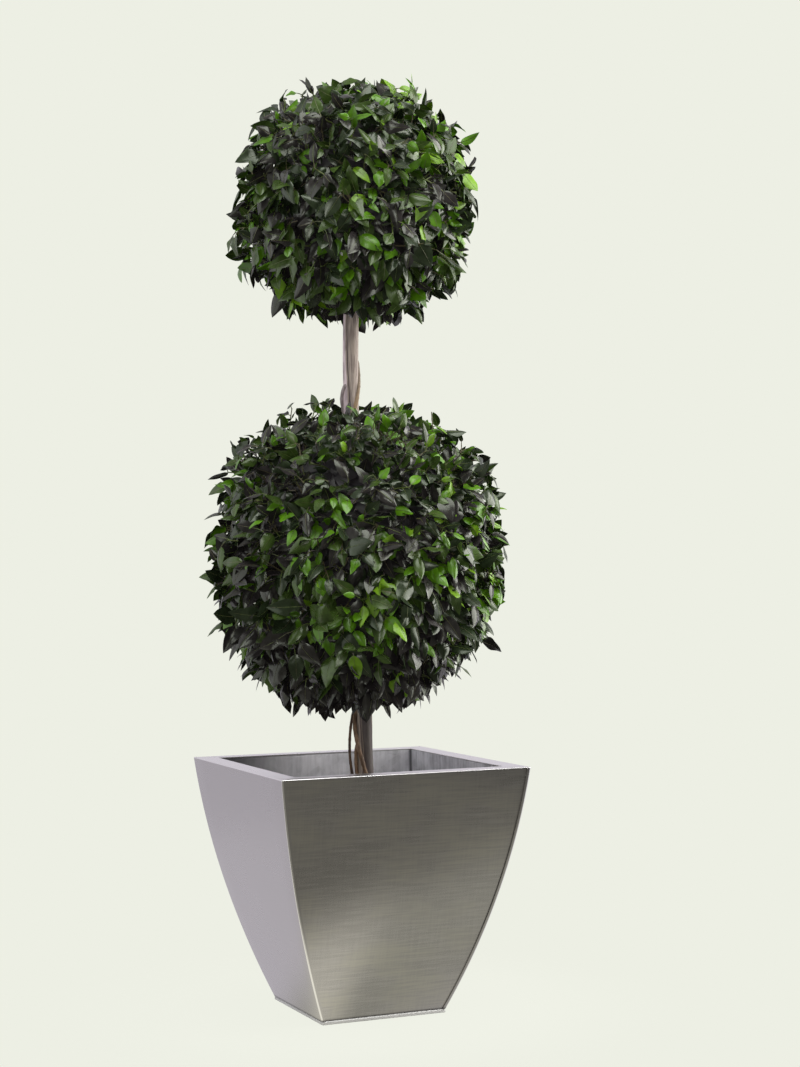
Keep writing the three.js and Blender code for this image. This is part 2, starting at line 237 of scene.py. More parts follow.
def grid_faces(rows: int, columns: int, wrap: bool = False) -> Array:
    """Four-cornered faces of a grid of points that is numbered row by row.

    Args:
        rows: Points along the first parameter.
        columns: Points along the second parameter.
        wrap: Whether the last column joins on to the first.

    Returns:
        One row of corner numbers for each face.
    """
    corner = np.arange(rows * columns).reshape(rows, columns)
    if wrap:
        corner = np.hstack([corner, corner[:, :1]])
    around = [corner[:-1, :-1], corner[:-1, 1:], corner[1:, 1:], corner[1:, :-1]]
    return np.stack(around, axis=-1).reshape(-1, 4)


def repeated_faces(faces: Array, count: int, points: int) -> Array:
    """The same faces on several runs of points, with the corner numbers carried on.

    Args:
        faces: The first run's faces.
        count: How many runs.
        points: Points in each run.

    Returns:
        One row of corner numbers for each face.
    """
    starts = (np.arange(count) * points)[:, None, None]
    return (faces[None] + starts).reshape(-1, faces.shape[1])


def tube_faces(tubes: int, rings: int, sides: int) -> list[Array]:
    """Faces of closed tubes whose points are numbered ring by ring: walls and two flat ends.

    Args:
        tubes: How many tubes.
        rings: Rings in each.
        sides: Points in each ring.

    Returns:
        The walls, the first ends and the last ends.
    """
    size = rings * sides
    end = np.arange(sides)[None]
    parts = [grid_faces(rings, sides, wrap=True), end[:, ::-1], end + size - sides]
    return [repeated_faces(part, tubes, size) for part in parts]


def sheet_shell(outer: Array, inner: Array) -> Shell:
    """A closed sheet: a grid for its outer face, one for its inner face, and strips round the rim.

    Args:
        outer: Points shaped (rows, columns, 3); columns run to the left of rows as seen from outside.
        inner: The points behind them, shaped alike.

    Returns:
        The closed surface.
    """
    rows, columns = outer.shape[:2]
    count = rows * columns
    quads = grid_faces(rows, columns)
    near = np.arange(count).reshape(rows, columns)
    edges = [near[0], near[-1, ::-1], near[::-1, 0], near[:, -1]]
    rims = [np.stack([e[:-1] + count, e[1:] + count, e[1:], e[:-1]], axis=1) for e in edges]
    points = np.concatenate([outer.reshape(-1, 3), inner.reshape(-1, 3)])
    return Shell(points, [quads, quads[:, ::-1] + count, *rims])


def square_lathe(profile: Array, corner: float, steps: int = 5) -> Shell:
    """A profile carried round a square with rounded corners: (distance * outline, height).

    Args:
        profile: Distances from the middle and heights, from the bottom end to the top end.
        corner: Corner radius as a share of the half width.
        steps: Points on each rounded corner.

    Returns:
        The surface, closed by a flat face on each end.
    """
    bend = quarter_turn(steps)
    arc = (1.0 - corner) + corner * np.stack([np.cos(bend), np.sin(bend)], axis=1)
    turns = np.arange(4) * np.pi / 2.0
    spin = np.stack([np.cos(turns), -np.sin(turns), np.sin(turns), np.cos(turns)], axis=1)
    outline = np.einsum("kij,nj->kni", spin.reshape(4, 2, 2), arc).reshape(-1, 2)
    ring = len(outline)
    places = profile[:, None, :1] * outline[None]
    heights = np.broadcast_to(profile[:, None, 1:], (len(profile), ring, 1))
    points = np.concatenate([places, heights], axis=2).reshape(-1, 3)
    return Shell(points, tube_faces(1, len(profile), ring))


def tube_shell(paths: Array, radii: Array, sides: int) -> Shell:
    """Closed tubes: at each path point a ring, radius * (cos a * side + sin a * top), square to it.

    Args:
        paths: Points shaped (tubes, places, 3).
        radii: Radii shaped (tubes, places).
        sides: Points in each ring.

    Returns:
        All the tubes as one surface, with a flat face on each end.
    """
    ahead = unit(np.gradient(paths, axis=1))
    least = np.eye(3)[np.abs(ahead.mean(axis=1)).argmin(axis=1)]
    side = unit(np.cross(ahead, least[:, None]))
    top = np.cross(ahead, side)
    angle = round_angles(sides)[:, None]
    ring = np.cos(angle) * side[:, :, None] + np.sin(angle) * top[:, :, None]
    points = paths[:, :, None] + radii[:, :, None, None] * ring
    return Shell(points.reshape(-1, 3), tube_faces(*radii.shape, sides))


def add_piece(name: str, shell: Shell, material: bpy.types.Material, crease: Crease) -> bpy.types.Object:
    """Puts a surface into the scene as a smooth-shaded mesh at the origin.

    Args:
        name: The piece's name.
        shell: Its surface.
        material: Its finish.
        crease: Which edges stay sharp.

    Returns:
        The new object.
    """
    corners = np.concatenate([group.ravel() for group in shell.faces])
    totals = np.concatenate([np.full(len(group), group.shape[1]) for group in shell.faces])
    mesh = bpy.data.meshes.new(name)
    mesh.vertices.add(len(shell.points))
    mesh.vertices.foreach_set("co", shell.points.astype(np.float32).ravel())
    mesh.loops.add(len(corners))
    mesh.loops.foreach_set("vertex_index", corners.astype(np.int32))
    mesh.polygons.add(len(totals))
    mesh.polygons.foreach_set("loop_start", (np.cumsum(totals) - totals).astype(np.int32))
    mesh.polygons.foreach_set("use_smooth", np.ones(len(totals), bool))
    mesh.update(calc_edges=True)
    mesh.set_sharp_from_angle(angle=np.radians(crease.value))
    mesh.materials.append(material)
    piece = bpy.data.objects.new(name, mesh)
    bpy.context.scene.collection.objects.link(piece)
    LOG.info("%s: %d triangles", name, int((totals - 2).sum()))
    return piece


def stand_for(piece: bpy.types.Object, slot: str, *nodes: str) -> None:
    """A piece rides on the part's one body and stands for CAD nodes, which are hidden.

    Args:
        piece: The piece.
        slot: The record's material slot; not used.
        nodes: The CAD nodes that it replaces.
    """
    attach(piece, ROOT)
    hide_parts(*nodes)


def mark_points(piece: bpy.types.Object, name: str, values: Array) -> None:
    """Gives a piece a named value at each of its points, for its finish to read."""
    piece.data.attributes.new(name, "FLOAT", "POINT").data.foreach_set("value", values)


# Shader nodes


class Wire:
    """A shader socket that takes part in sums: each operator makes a Math node."""

    def __init__(self, board: "Board", socket: bpy.types.NodeSocket) -> None:
        """Keeps the node board and the socket."""
        self.board = board
        self.socket = socket

    def sum(self, operation: str, first: "Wire | float", second: "Wire | float") -> "Wire":
        """The output of a Math node for two values."""
        return self.board.make("ShaderNodeMath", {"operation": operation}, {0: first, 1: second})

    def __add__(self, other: "Wire | float") -> "Wire":
        """This plus the other."""
        return self.sum("ADD", self, other)

    def __radd__(self, other: float) -> "Wire":
        """The other plus this."""
        return self.sum("ADD", other, self)

    def __sub__(self, other: "Wire | float") -> "Wire":
        """This less the other."""
        return self.sum("SUBTRACT", self, other)

    def __rsub__(self, other: float) -> "Wire":
        """The other less this."""
        return self.sum("SUBTRACT", other, self)

    def __mul__(self, other: "Wire | float") -> "Wire":
        """This times the other."""
        return self.sum("MULTIPLY", self, other)

    def __rmul__(self, other: float) -> "Wire":
        """The other times this."""
        return self.sum("MULTIPLY", other, self)


class Board:
    """The node tree of a material or a world, filled node by node."""

    def __init__(self, owner: "bpy.types.Material | bpy.types.World") -> None:
        """Keeps the owner and clears its tree.

        Args:
            owner: The material or world.
        """
        owner.use_nodes = True
        self.owner = owner
        self.tree = owner.node_tree
        self.tree.nodes.clear()

    def make(
        self,
        kind: str,
        settings: dict[str, object] | None = None,
        sockets: dict[int | str, object] | None = None,
        output: int | str = 0,
    ) -> Wire | None:
        """Makes a node, sets it, then gives its sockets their values or links.

        Args:
            kind: The node's type.
            settings: The node's own settings.
            sockets: A number, colour or wire for each input, by its place or name.
            output: Which output to hand back.

        Returns:
            That output, or None where the node has none.
        """
        node = self.tree.nodes.new(kind)
        for name, value in (settings or {}).items():
            setattr(node, name, value)
        for place, value in (sockets or {}).items():
            if isinstance(value, Wire):
                self.tree.links.new(value.socket, node.inputs[place])
            elif isinstance(value, tuple) and node.inputs[place].type == "RGBA":
                node.inputs[place].default_value = (*value, 1.0)
            else:
                node.inputs[place].default_value = value
        return Wire(self, node.outputs[output]) if len(node.outputs) else None

    def place(self, stretch: Triple = (1.0, 1.0, 1.0)) -> Wire:
        """Object coordinates, multiplied along each axis."""
        coordinates = self.make("ShaderNodeTexCoord", output="Object")
        return self.make("ShaderNodeMapping", None, {"Vector": coordinates, "Scale": stretch})

    def axis(self, name: str, place: Wire | None = None) -> Wire:
        """One coordinate, X, Y or Z, of a place, or of the Object coordinates where none is given."""
        return self.make("ShaderNodeSeparateXYZ", None, {0: place or self.place()}, name)

    def toward(self, place: Wire, way: Triple) -> Wire:
        """How far a place lies along a direction."""
        return self.make("ShaderNodeVectorMath", {"operation": "DOT_PRODUCT"}, {0: place, 1: way}, "Value")

    def own(self, name: str) -> Wire:
        """The value of this name that a piece has at its points, or 0 where it has none."""
        return self.make("ShaderNodeAttribute", {"attribute_name": name}, None, "Fac")

    def noise(self, scale: float, detail: float, stretch: Triple = (1.0, 1.0, 1.0)) -> Wire:
        """Noise from 0 to 1 on stretched Object coordinates, at a scale in cells per metre."""
        sockets = {"Vector": self.place(stretch), "Scale": scale, "Detail": detail}
        return self.make("ShaderNodeTexNoise", None, sockets)

    def ramp(self, value: Wire, span: Span, ends: Span = (0.0, 1.0)) -> Wire:
        """A smooth step over a span of a value.

        Args:
            value: The value.
            span: Where the step starts and ends.
            ends: The results there.

        Returns:
            The stepped value.
        """
        names = ("From Min", "From Max", "To Min", "To Max")
        sockets = {"Value": value, **dict(zip(names, (*span, *ends)))}
        return self.make("ShaderNodeMapRange", {"interpolation_type": "SMOOTHSTEP"}, sockets)

    def blend(self, share: Wire | float, first: Wire | Colour, second: Wire | Colour) -> Wire:
        """One colour blended into another by a share."""
        return self.make("ShaderNodeMix", {"data_type": "RGBA"}, {0: share, 6: first, 7: second}, 2)

    def fade(self, value: Wire, span: Span, first: Wire | Colour, second: Wire | Colour) -> Wire:
        """One colour where a value is low, turning smoothly into another over a span of it."""
        return self.blend(self.ramp(value, span), first, second)

    def bump(self, height: Wire, strength: float, distance: float) -> Wire:
        """A normal that is tilted as if the surface stood out by a height times a distance."""
        sockets = {"Height": height, "Strength": strength, "Distance": distance}
        return self.make("ShaderNodeBump", None, sockets)

    def surface(self, sockets: dict[str, object]) -> bpy.types.Material:
        """Ends the tree in a Principled shader with these inputs.

        Args:
            sockets: The shader's inputs by name.

        Returns:
            The finished material.
        """
        shader = self.make("ShaderNodeBsdfPrincipled", None, sockets)
        self.make("ShaderNodeOutputMaterial", None, {"Surface": shader})
        return self.owner


def new_board(name: str) -> Board:
    """The empty board of a new material."""
    return Board(bpy.data.materials.new(name))


def scaled(colour: Colour, factor: float) -> Colour:
    """A colour made lighter or darker."""
    return tuple(factor * part for part in colour)


# Finishes


class Grain(Enum):
    """Which way a panel's width runs, so that its cross lines run square to it."""

    ALONG_X = (1.0, 0.05, 0.05)
    ALONG_Y = (0.05, 1.0, 0.05)


@dataclass(frozen=True)
class BrushedMetal:
    """Satin sheet metal with fine level brush lines and fainter upright ones, like linen.

    It has a painted highlight at the rim and where a piece's own highlit value is 1, and a painted shadow
    along the foot.
    """

    name: str
    grain: Grain
    rim: float
    foot: float
    colour: Colour = (0.47, 0.455, 0.45)
    stain: Colour = (1.0, 1.0, 1.0)
    roughness: float = 0.27
    contrast: float = 0.085
    metallic: float = 1.0
    # Painted highlight: the pale colour at the rim and on the marked bends.
    polished: Colour = (0.89, 0.875, 0.87)
    highlight_depth: Span = (1.5 * MM, 0.5 * MM)
    # Painted shadow: a dark band up from the foot, where the panel meets the plate.
    foot_shade: Colour = (0.1, 0.095, 0.1)
    foot_shade_height: float = 3.5 * MM
    foot_shade_share: float = 0.9
    lines_per_metre: float = 560.0
    clouds_per_metre: float = 22.0
    cloud_span: Span = (0.42, 0.62)
    weave_span: Span = (0.36, 0.64)
    WORN: ClassVar[str] = "worn"

    def material(self) -> bpy.types.Material:
        """Level lines come from noise squeezed in height, upright ones from noise squeezed in width.

        Returns:
            The material.
        """
        board = new_board(self.name)
        level = board.noise(self.lines_per_metre, 1.0, (0.04, 0.04, 1.0))
        upright = board.noise(self.lines_per_metre, 1.0, self.grain.value)
        cloud = board.noise(self.clouds_per_metre, 3.0, (0.5, 0.5, 1.0))
        weave = 0.5 * level + 0.2 * upright + 0.3 * cloud
        light = scaled(self.colour, 1.0 + self.contrast)
        tinted = tuple(part * stain for part, stain in zip(light, self.stain))
        pale = board.fade(cloud, self.cloud_span, light, tinted)
        woven = board.fade(weave, self.weave_span, scaled(self.colour, 1.0 - self.contrast), pale)
        height = board.axis("Z")
        rim_span = (self.rim - self.highlight_depth[0], self.rim - self.highlight_depth[1])
        # Painted highlight: pale colour at the rim and where the piece marks its bends.
        worn = board.ramp(height, rim_span) + board.own(self.WORN)
        # Painted shadow along the foot.
        foot_shaded = board.ramp(height, (self.foot, self.foot + self.foot_shade_height), (self.foot_shade_share, 0.0))
        return board.surface({
            "Base Color": board.blend(foot_shaded, board.blend(worn, woven, self.polished), self.foot_shade),
            "Metallic": self.metallic,
            "Roughness": self.roughness - 0.05 + 0.06 * weave + 0.06 * cloud,
        })


@dataclass(frozen=True)
class Galvanised:
    """Dull zinc with cloudy blotches, flat crystal patches and faint runs, darker toward its left end by
    painted shade.

    It is dark in the upright corners of the square box that it lines.
    """

    name: str
    half: float
    dark: Colour = (0.37, 0.37, 0.39)
    light: Colour = (0.90, 0.90, 0.94)
    # Painted shade: the colour that the left end darkens toward.
    left_shade: Colour = (0.03, 0.03, 0.032)
    left_shade_span: Span = (-0.145, 0.02)
    least_lit: float = 0.08
    corner_dark: Colour = (0.03, 0.03, 0.035)
    corner_dark_span: Span = (0.94, 0.985)
    corner_dark_share: float = 0.8
    patches_per_metre: float = 95.0
    blotches_per_metre: float = 26.0
    runs_per_metre: float = 150.0
    cloud_span: Span = (0.3, 0.7)

    def material(self) -> bpy.types.Material:
        """Crystal patches from cells of random shade, cloudy noise, and runs from noise drawn out in height.

        A corner is where the two level distances multiplied come near the square of the half width.

        Returns:
            The material.
        """
        board = new_board(self.name)
        cells = {"Vector": board.place(), "Scale": self.patches_per_metre}
        patches = board.make("ShaderNodeTexVoronoi", None, cells, "Color")
        patch = board.make("ShaderNodeSeparateColor", None, {0: patches})
        cloud = board.noise(self.blotches_per_metre, 5.0)
        run = board.noise(self.runs_per_metre, 3.0, (1.0, 1.0, 0.12))
        blotch, streak = board.ramp(cloud, self.cloud_span), board.ramp(run, self.cloud_span)
        shade = 0.2 * patch + 0.5 * blotch + 0.3 * streak
        across = board.axis("X")
        # Painted shade toward the left end.
        lit_share = board.ramp(across, self.left_shade_span, (self.least_lit, 1.0))
        zinc = board.blend(lit_share, self.left_shade, board.blend(shade, self.dark, self.light))
        corner = across * board.axis("Y") * (1.0 / self.half**2)
        # Darker in the upright corners.
        corner_dark = board.ramp(corner * corner, self.corner_dark_span, (0.0, self.corner_dark_share))
        return board.surface({
            "Base Color": board.blend(corner_dark, zinc, self.corner_dark),
            "Metallic": 0.6,
            "Roughness": 0.6 - 0.2 * shade,
            "Normal": board.bump(cloud, 0.15, 0.3 * MM),
        })


@dataclass(frozen=True)
class PottingMix:
    """Dark, damp, crumbly soil with paler fibres."""

    name: str
    damp: Colour = (0.018, 0.012, 0.008)
    dry: Colour = (0.06, 0.04, 0.024)
    fibre: Colour = (0.15, 0.1, 0.055)
    clods_per_metre: float = 90.0
    fibres_per_metre: float = 520.0
    clod_span: Span = (0.35, 0.65)
    fibre_span: Span = (0.58, 0.76)

    def material(self) -> bpy.types.Material:
        """Coarse and fine noise in three browns.

        Returns:
            The material.
        """
        board = new_board(self.name)
        coarse = board.noise(self.clods_per_metre, 4.0)
        fine = board.noise(self.fibres_per_metre, 3.0)
        earth = board.fade(coarse, self.clod_span, self.damp, self.dry)
        return board.surface({
            "Base Color": board.fade(fine, self.fibre_span, earth, self.fibre),
            "Roughness": 0.82 + 0.16 * coarse,
            "Normal": board.bump(0.6 * coarse + 0.4 * fine, 0.7, 1.5 * MM),
        })


@dataclass(frozen=True)
class Bark:
    """Dry bark with long furrows, which turns from its low tone to its high one over a span of heights.

    A piece's own groove value turns it to the dark tone up to a half, and beyond that to the furrows' colour,
    which is painted shade in the groove's floor.
    """

    name: str
    furrow: Colour
    low: Colour
    high: Colour
    change: Span
    contrast: float = 1.0
    dark_tone: Colour = (0.44, 0.37, 0.30)
    groove_shade: float = 0.0
    furrows_per_metre: float = 420.0
    clouds_per_metre: float = 70.0
    furrow_span: Span = (0.38, 0.56)
    cloud_span: Span = (0.35, 0.7)
    cloud_share: float = 0.45
    GROOVE: ClassVar[str] = "groove"

    def material(self) -> bpy.types.Material:
        """Noise drawn out along the stem makes the furrows, and height blends the two tones.

        Returns:
            The material.
        """
        board = new_board(self.name)
        streak = board.noise(self.furrows_per_metre, 4.0, (1.0, 1.0, 0.09))
        cloud = board.noise(self.clouds_per_metre, 3.0, (1.0, 1.0, 0.4))
        groove = board.own(self.GROOVE)
        plate = board.fade(board.axis("Z"), self.change, self.low, self.high)
        # Stems with a higher tone value turn toward the dark tone.
        toned = board.fade(groove, (0.0, 0.5), plate, self.dark_tone)
        # Painted shade: the groove's floor turns to the furrow colour.
        deep = board.ramp(groove, (0.5, 1.0), (0.0, self.groove_shade))
        shaded = board.blend(deep, toned, self.furrow)
        clouded = board.ramp(cloud, self.cloud_span, (0.0, self.cloud_share * self.contrast))
        mottled = board.blend(clouded, shaded, self.furrow)
        raised = board.ramp(streak, self.furrow_span, (1.0 - self.contrast, 1.0))
        return board.surface({
            "Base Color": board.blend(raised, self.furrow, mottled),
            "Roughness": 0.58 + 0.25 * cloud,
            "Normal": board.bump(streak, 0.55 * self.contrast, 0.8 * MM),
        })


@dataclass(frozen=True)
class LeafGreen:
    """A glossy leaf: one green, a little lighter and darker from place to place."""

    name: str
    colour: Colour
    roughness: float
    darker: float = 0.72
    lighter: float = 1.3
    sheen: Colour = (0.92, 1.0, 0.83)
    gloss: float = 0.47
    clouds_per_metre: float = 70.0
    puckers_per_metre: float = 260.0
    cloud_span: Span = (0.3, 0.7)

    def material(self) -> bpy.types.Material:
        """Soft clouds shade the green, and fine noise puckers the surface between the veins.

        Returns:
            The material.
        """
        board = new_board(self.name)
        cloud = board.noise(self.clouds_per_metre, 2.0)
        pucker = board.noise(self.puckers_per_metre, 2.0)
        dark, light = scaled(self.colour, self.darker), scaled(self.colour, self.lighter)
        return board.surface({
            "Base Color": board.fade(cloud, self.cloud_span, dark, light),
            "Roughness": self.roughness - 0.05 + 0.1 * cloud,
            "Specular IOR Level": self.gloss,
            "Specular Tint": self.sheen,
            "Normal": board.bump(pucker, 0.12, 1.0 * MM),
        })


@dataclass(frozen=True)
class Stalk:
    """Smooth green-brown leaf stalks and ribs."""

    name: str
    young: Colour = (0.1, 0.14, 0.03)
    old: Colour = (0.1, 0.085, 0.045)
    clouds_per_metre: float = 40.0
    cloud_span: Span = (0.4, 0.62)

    def material(self) -> bpy.types.Material:
        """Noise blends young green into old brown.

        Returns:
            The material.
        """
        board = new_board(self.name)
        cloud = board.noise(self.clouds_per_metre, 2.0)
        return board.surface({
            "Base Color": board.fade(cloud, self.cloud_span, self.young, self.old),
            "Roughness": 0.4 + 0.2 * cloud,
        })


# Planter


@dataclass
class Planter:
    """Square tapered planter of bowed sheets, with its base plate, liner and soil."""

    base_half: float = 87 * MM
    bulge: float = 12 * MM
    sheet: float = 1.5 * MM
    fold_width: float = 5 * MM
    bend_radius: float = 2.2 * MM
    # Share of the bend radius that carries the painted highlight.
    highlight_share: float = 0.9
    edge_radius: float = 1.1 * MM
    mitre_gap: float = 0.42 * MM
    lip: float = 0.3 * MM
    plate_ease: float = 0.5 * MM
    plate_bevel: float = 1.2 * MM
    plate_corner: float = 0.012
    liner_corner: float = 0.01
    rows: int = 60
    columns: int = 9
    bend_steps: int = 6
    soil_grid: int = 150
    soil_relief: float = 3.2 * MM
    soil_sunk: float = 0.6 * MM
    soil_lumps: tuple[Span, ...] = ((0.05, 0.5), (0.014, 0.3), (0.005, 0.2))
    crumbs: int = 900
    crumb_shape: float = 2.2
    crumb_spread: float = 0.8 * MM
    crumb_least: float = 0.8 * MM
    crumb_most: float = 4.5 * MM
    crumb_stretch: float = 1.3
    crumb_lift: float = 0.2
    crumb_girths: Span = (0.7, 1.05)
    crumb_margin: float = 7 * MM

    def __post_init__(self) -> None:
        """Takes the outer sizes from the frame and works out the arc of the bowed sides.

        The arc passes through the base edge and the top edge and stands out from their chord by the
        bulge: radius = chord^2 / (8 bulge) + bulge / 2.
        """
        panel_low, panel_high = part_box("side_panel_right")
        self.top_half, self.height = panel_high.x, panel_high.z
        self.panel_bottom = panel_low.z
        plate_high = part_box("base_plate")[1]
        self.plate_half, self.plate_top = plate_high.x, plate_high.z
        liner_low, liner_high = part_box("liner")
        self.liner_outer, self.liner_bottom, self.liner_top = liner_high.x, liner_low.z, liner_high.z
        self.liner_half = self.liner_outer - self.sheet
        soil_low, soil_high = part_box("soil")
        self.soil_half, self.soil_bottom, self.soil_top = soil_high.x, soil_low.z, soil_high.z
        chord = np.hypot(self.top_half - self.base_half, self.height)
        self.arc_radius = chord**2 / (8.0 * self.bulge) + self.bulge / 2.0
        inset = (self.arc_radius - self.bulge) / chord
        self.arc_half = (self.top_half + self.base_half) / 2.0 - inset * self.height
        self.arc_height = self.height / 2.0 + inset * (self.top_half - self.base_half)

    def half_at(self, height: Array) -> Array:
        """Half the planter's width at a height: the arc's centre plus its level reach."""
        return self.arc_half + np.sqrt(self.arc_radius**2 - (height - self.arc_height) ** 2)

    def wall_levels(self, top: float) -> tuple[Array, Array]:
        """Heights up a wall and how far its outer face has drawn in, with a quarter round at the top.

        Args:
            top: Height of the wall's upper edge.

        Returns:
            Heights, and insets of the outer face.
        """
        turn = quarter_turn(self.bend_steps)[1:]
        plain = np.linspace(self.panel_bottom, top - self.edge_radius, self.rows)
        heights = np.concatenate([plain, top - self.edge_radius * (1.0 - np.sin(turn))])
        insets = np.concatenate([np.zeros(self.rows), self.edge_radius * (1.0 - np.cos(turn))])
        return heights, insets

    def side_wall(self) -> Shell:
        """The right side's wall: a level outline with bent-over ends, widened by the arc up the wall.

        Each outline point is half width * spread + offset, where the bends and folds are offsets.

        Returns:
            The closed sheet.
        """
        heights, insets = self.wall_levels(self.height)
        turn = quarter_turn(self.bend_steps)
        bend = np.stack([np.sin(turn), -np.cos(turn)], axis=1)
        fold_end = np.array([[-self.fold_width, 0.0]])
        across = np.linspace(-1.0, 1.0, self.columns)[1:-1]
        rounded = np.array([-1.0, 1.0]) * self.bend_radius + self.bend_radius * bend
        front = np.concatenate([fold_end, rounded])
        front_facing = np.concatenate([[[0.0, -1.0]], bend])
        mirror = np.array([1.0, -1.0])
        middle = np.stack([np.ones(len(across)), across], axis=1)
        spread = np.concatenate([np.tile([1.0, -1.0], (len(front), 1)), middle, np.ones((len(front), 2))])
        offset = np.concatenate([front, np.zeros((len(across), 2)), front[::-1] * mirror])
        sideways = np.tile([1.0, 0.0], (len(across), 1))
        facing = np.concatenate([front_facing, sideways, front_facing[::-1] * mirror])
        half = self.half_at(heights)[:, None, None]
        level = np.broadcast_to(heights[:, None, None], (len(heights), len(spread), 1))
        plan = half * spread + offset
        outer = np.concatenate([plan - insets[:, None, None] * facing, level], axis=2)
        inner = np.concatenate([plan - self.sheet * facing, level], axis=2)
        return sheet_shell(outer, inner)

    def face_wall(self) -> Shell:
        """The right-hand wall of a pair set in behind folds: level lines across, widened by the arc.

        Returns:
            The closed sheet.
        """
        behind = self.sheet + GAP
        heights = self.wall_levels(self.height - self.sheet - GAP)[0]
        half = (self.half_at(heights) - behind)[:, None]
        width = half * np.linspace(-1.0, 1.0, self.columns)[None]
        level = np.broadcast_to(heights[:, None], width.shape)
        outer = np.stack([np.broadcast_to(half, width.shape), width, level], axis=2)
        inner = np.stack([np.broadcast_to(half - self.sheet, width.shape), width, level], axis=2)
        return sheet_shell(outer, inner)

    def flange(self, outer_edge: float, set_back: float, rounded: bool) -> Shell:
        """The right side's flat rim strip, mitred: each level line runs between the two diagonals.

        Args:
            outer_edge: Its outer edge's distance from the middle.
            set_back: How far the mitres stand back from the diagonals.
            rounded: Whether the outer edge is a quarter round.

        Returns:
            The closed strip.
        """
        radius = self.edge_radius
        turn = quarter_turn(self.bend_steps)
        arc = np.stack([outer_edge - radius + radius * np.sin(turn),
                        self.height - radius + radius * np.cos(turn)], axis=1)
        edge = arc if rounded else np.array([[outer_edge, self.height]])
        inside = [[self.liner_half, self.height - self.lip], [self.liner_half + self.lip, self.height]]
        profile = np.concatenate([inside, edge])
        along = np.linspace(-1.0, 1.0, 3)[:, None]
        reach = np.broadcast_to(profile[:, 0], (len(along), len(profile)))
        level = np.broadcast_to(profile[:, 1], reach.shape)
        upper = np.stack([reach, along * (reach - set_back), level], axis=2)
        lower = upper.copy()
        lower[..., 2] = self.height - self.sheet
        return sheet_shell(upper, lower)

    def soil_shell(self) -> Shell:
        """The potting mix: a square grid raised by noise at three sizes, with a skirt and a flat bottom.

        Noise lifts and sinks the top by up to the relief, and it is evened out toward the liner's walls.

        Returns:
            The closed surface.
        """
        count = self.soil_grid
        line = np.linspace(-self.soil_half, self.soil_half, count)
        across, deep = np.meshgrid(line, line)
        flat = np.stack([across, deep, np.zeros_like(across)], axis=2)
        rough = sum(smooth_noise(flat / cell, Seed.SOIL) * part for cell, part in self.soil_lumps)
        rim = 1.0 - np.maximum(np.abs(across), np.abs(deep)) / self.soil_half
        lift = self.soil_relief * rough * np.clip(rim * 12.0, 0.15, 1.0)
        top = flat + (self.soil_top - self.soil_sunk + lift)[..., None] * UP
        number = np.arange(count * count).reshape(count, count)
        border = np.concatenate([number[0, :-1], number[:-1, -1], number[-1, :0:-1], number[:0:-1, 0]])
        foot = top.reshape(-1, 3)[border]
        foot[:, 2] = self.soil_bottom
        low = count * count + np.arange(len(border))
        skirt = np.stack([low, np.roll(low, -1), np.roll(border, -1), border], axis=1)
        points = np.concatenate([top.reshape(-1, 3), foot])
        return Shell(points, [grid_faces(count, count), skirt, low[None, ::-1]])

    def crumb_shell(self) -> Shell:
        """Loose crumbs: short fat tubes whose rings swell and shrink like a ball's, lying on the soil.

        Returns:
            All the crumbs as one surface.
        """
        draw = np.random.default_rng(Seed.CRUMB)
        room = self.soil_half - self.crumb_margin
        spot = draw.uniform(-room, room, (self.crumbs, 2))
        size = draw.gamma(self.crumb_shape, self.crumb_spread, self.crumbs) + self.crumb_least
        size = np.minimum(size, self.crumb_most)
        middle = np.column_stack([spot, np.full(self.crumbs, self.soil_top) + self.crumb_lift * size])
        aim = unit(draw.normal(size=(self.crumbs, 3)) * np.array([1.0, 1.0, 0.5]))
        along = np.array([-0.95, -0.6, 0.0, 0.6, 0.95])
        girth = np.sqrt(1.0 - along**2)
        length = size[:, None, None] * self.crumb_stretch
        paths = middle[:, None] + length * along[None, :, None] * aim[:, None]
        radii = size[:, None] * girth * draw.uniform(*self.crumb_girths, (self.crumbs, len(along)))
        return tube_shell(paths, radii, 6)

    def build_panels(self) -> None:
        """Builds and dresses the four bowed sheets; the bends of the sides carry a painted highlight."""
        side_finish = BrushedMetal(
            "brushed_metal_sides", Grain.ALONG_Y, self.height, self.panel_bottom, contrast=0.012
        ).material()
        face_finish = BrushedMetal(
            "brushed_metal_front", Grain.ALONG_X, self.height, self.panel_bottom, stain=(1.01, 1.01, 0.95)
        ).material()
        behind = self.sheet + GAP
        side = join_shells([self.side_wall(), self.flange(self.top_half - self.sheet, 0.0, False)])
        face = join_shells([self.face_wall(), self.flange(self.top_half - behind, self.mitre_gap, True)])
        # The sides' bends are marked for the painted highlight in their finish.
        bend = self.half_at(side.points[:, 2:]) - self.highlight_share * self.bend_radius
        worn = (np.abs(side.points[:, :2]) > bend).all(axis=1).astype(float)
        panels = (
            ("side_panel_right", side, 0.0, side_finish),
            ("side_panel_left", side, np.pi, side_finish),
            ("back_panel", face, np.pi / 2.0, face_finish),
            ("front_panel", face, -np.pi / 2.0, face_finish),
        )
        for node, shell, turn, finish in panels:
            piece = add_piece("bowed_" + node, shell.turned(turn), finish, Crease.SHEET)
            stand_for(piece, "planter_metal", node)
            if shell is side:
                mark_points(piece, BrushedMetal.WORN, worn)

    def build_plate(self) -> None:
        """Builds and dresses the plate that the planter stands on."""
        # The painted shadow band is set below the plate.
        finish = BrushedMetal(
            "brushed_metal_foot", Grain.ALONG_X, self.height, -self.plate_top,
            colour=(0.6, 0.6, 0.58), roughness=0.55, contrast=0.05, metallic=0.35,
        ).material()
        profile = np.array([
            [self.plate_half - self.plate_ease, 0.0],
            [self.plate_half, self.plate_ease],
            [self.plate_half, self.plate_top - self.plate_bevel],
            [self.plate_half - self.plate_bevel, self.plate_top],
        ])
        piece = add_piece("foot_plate", square_lathe(profile, self.plate_corner), finish, Crease.SHEET)
        stand_for(piece, "planter_metal", "base_plate")

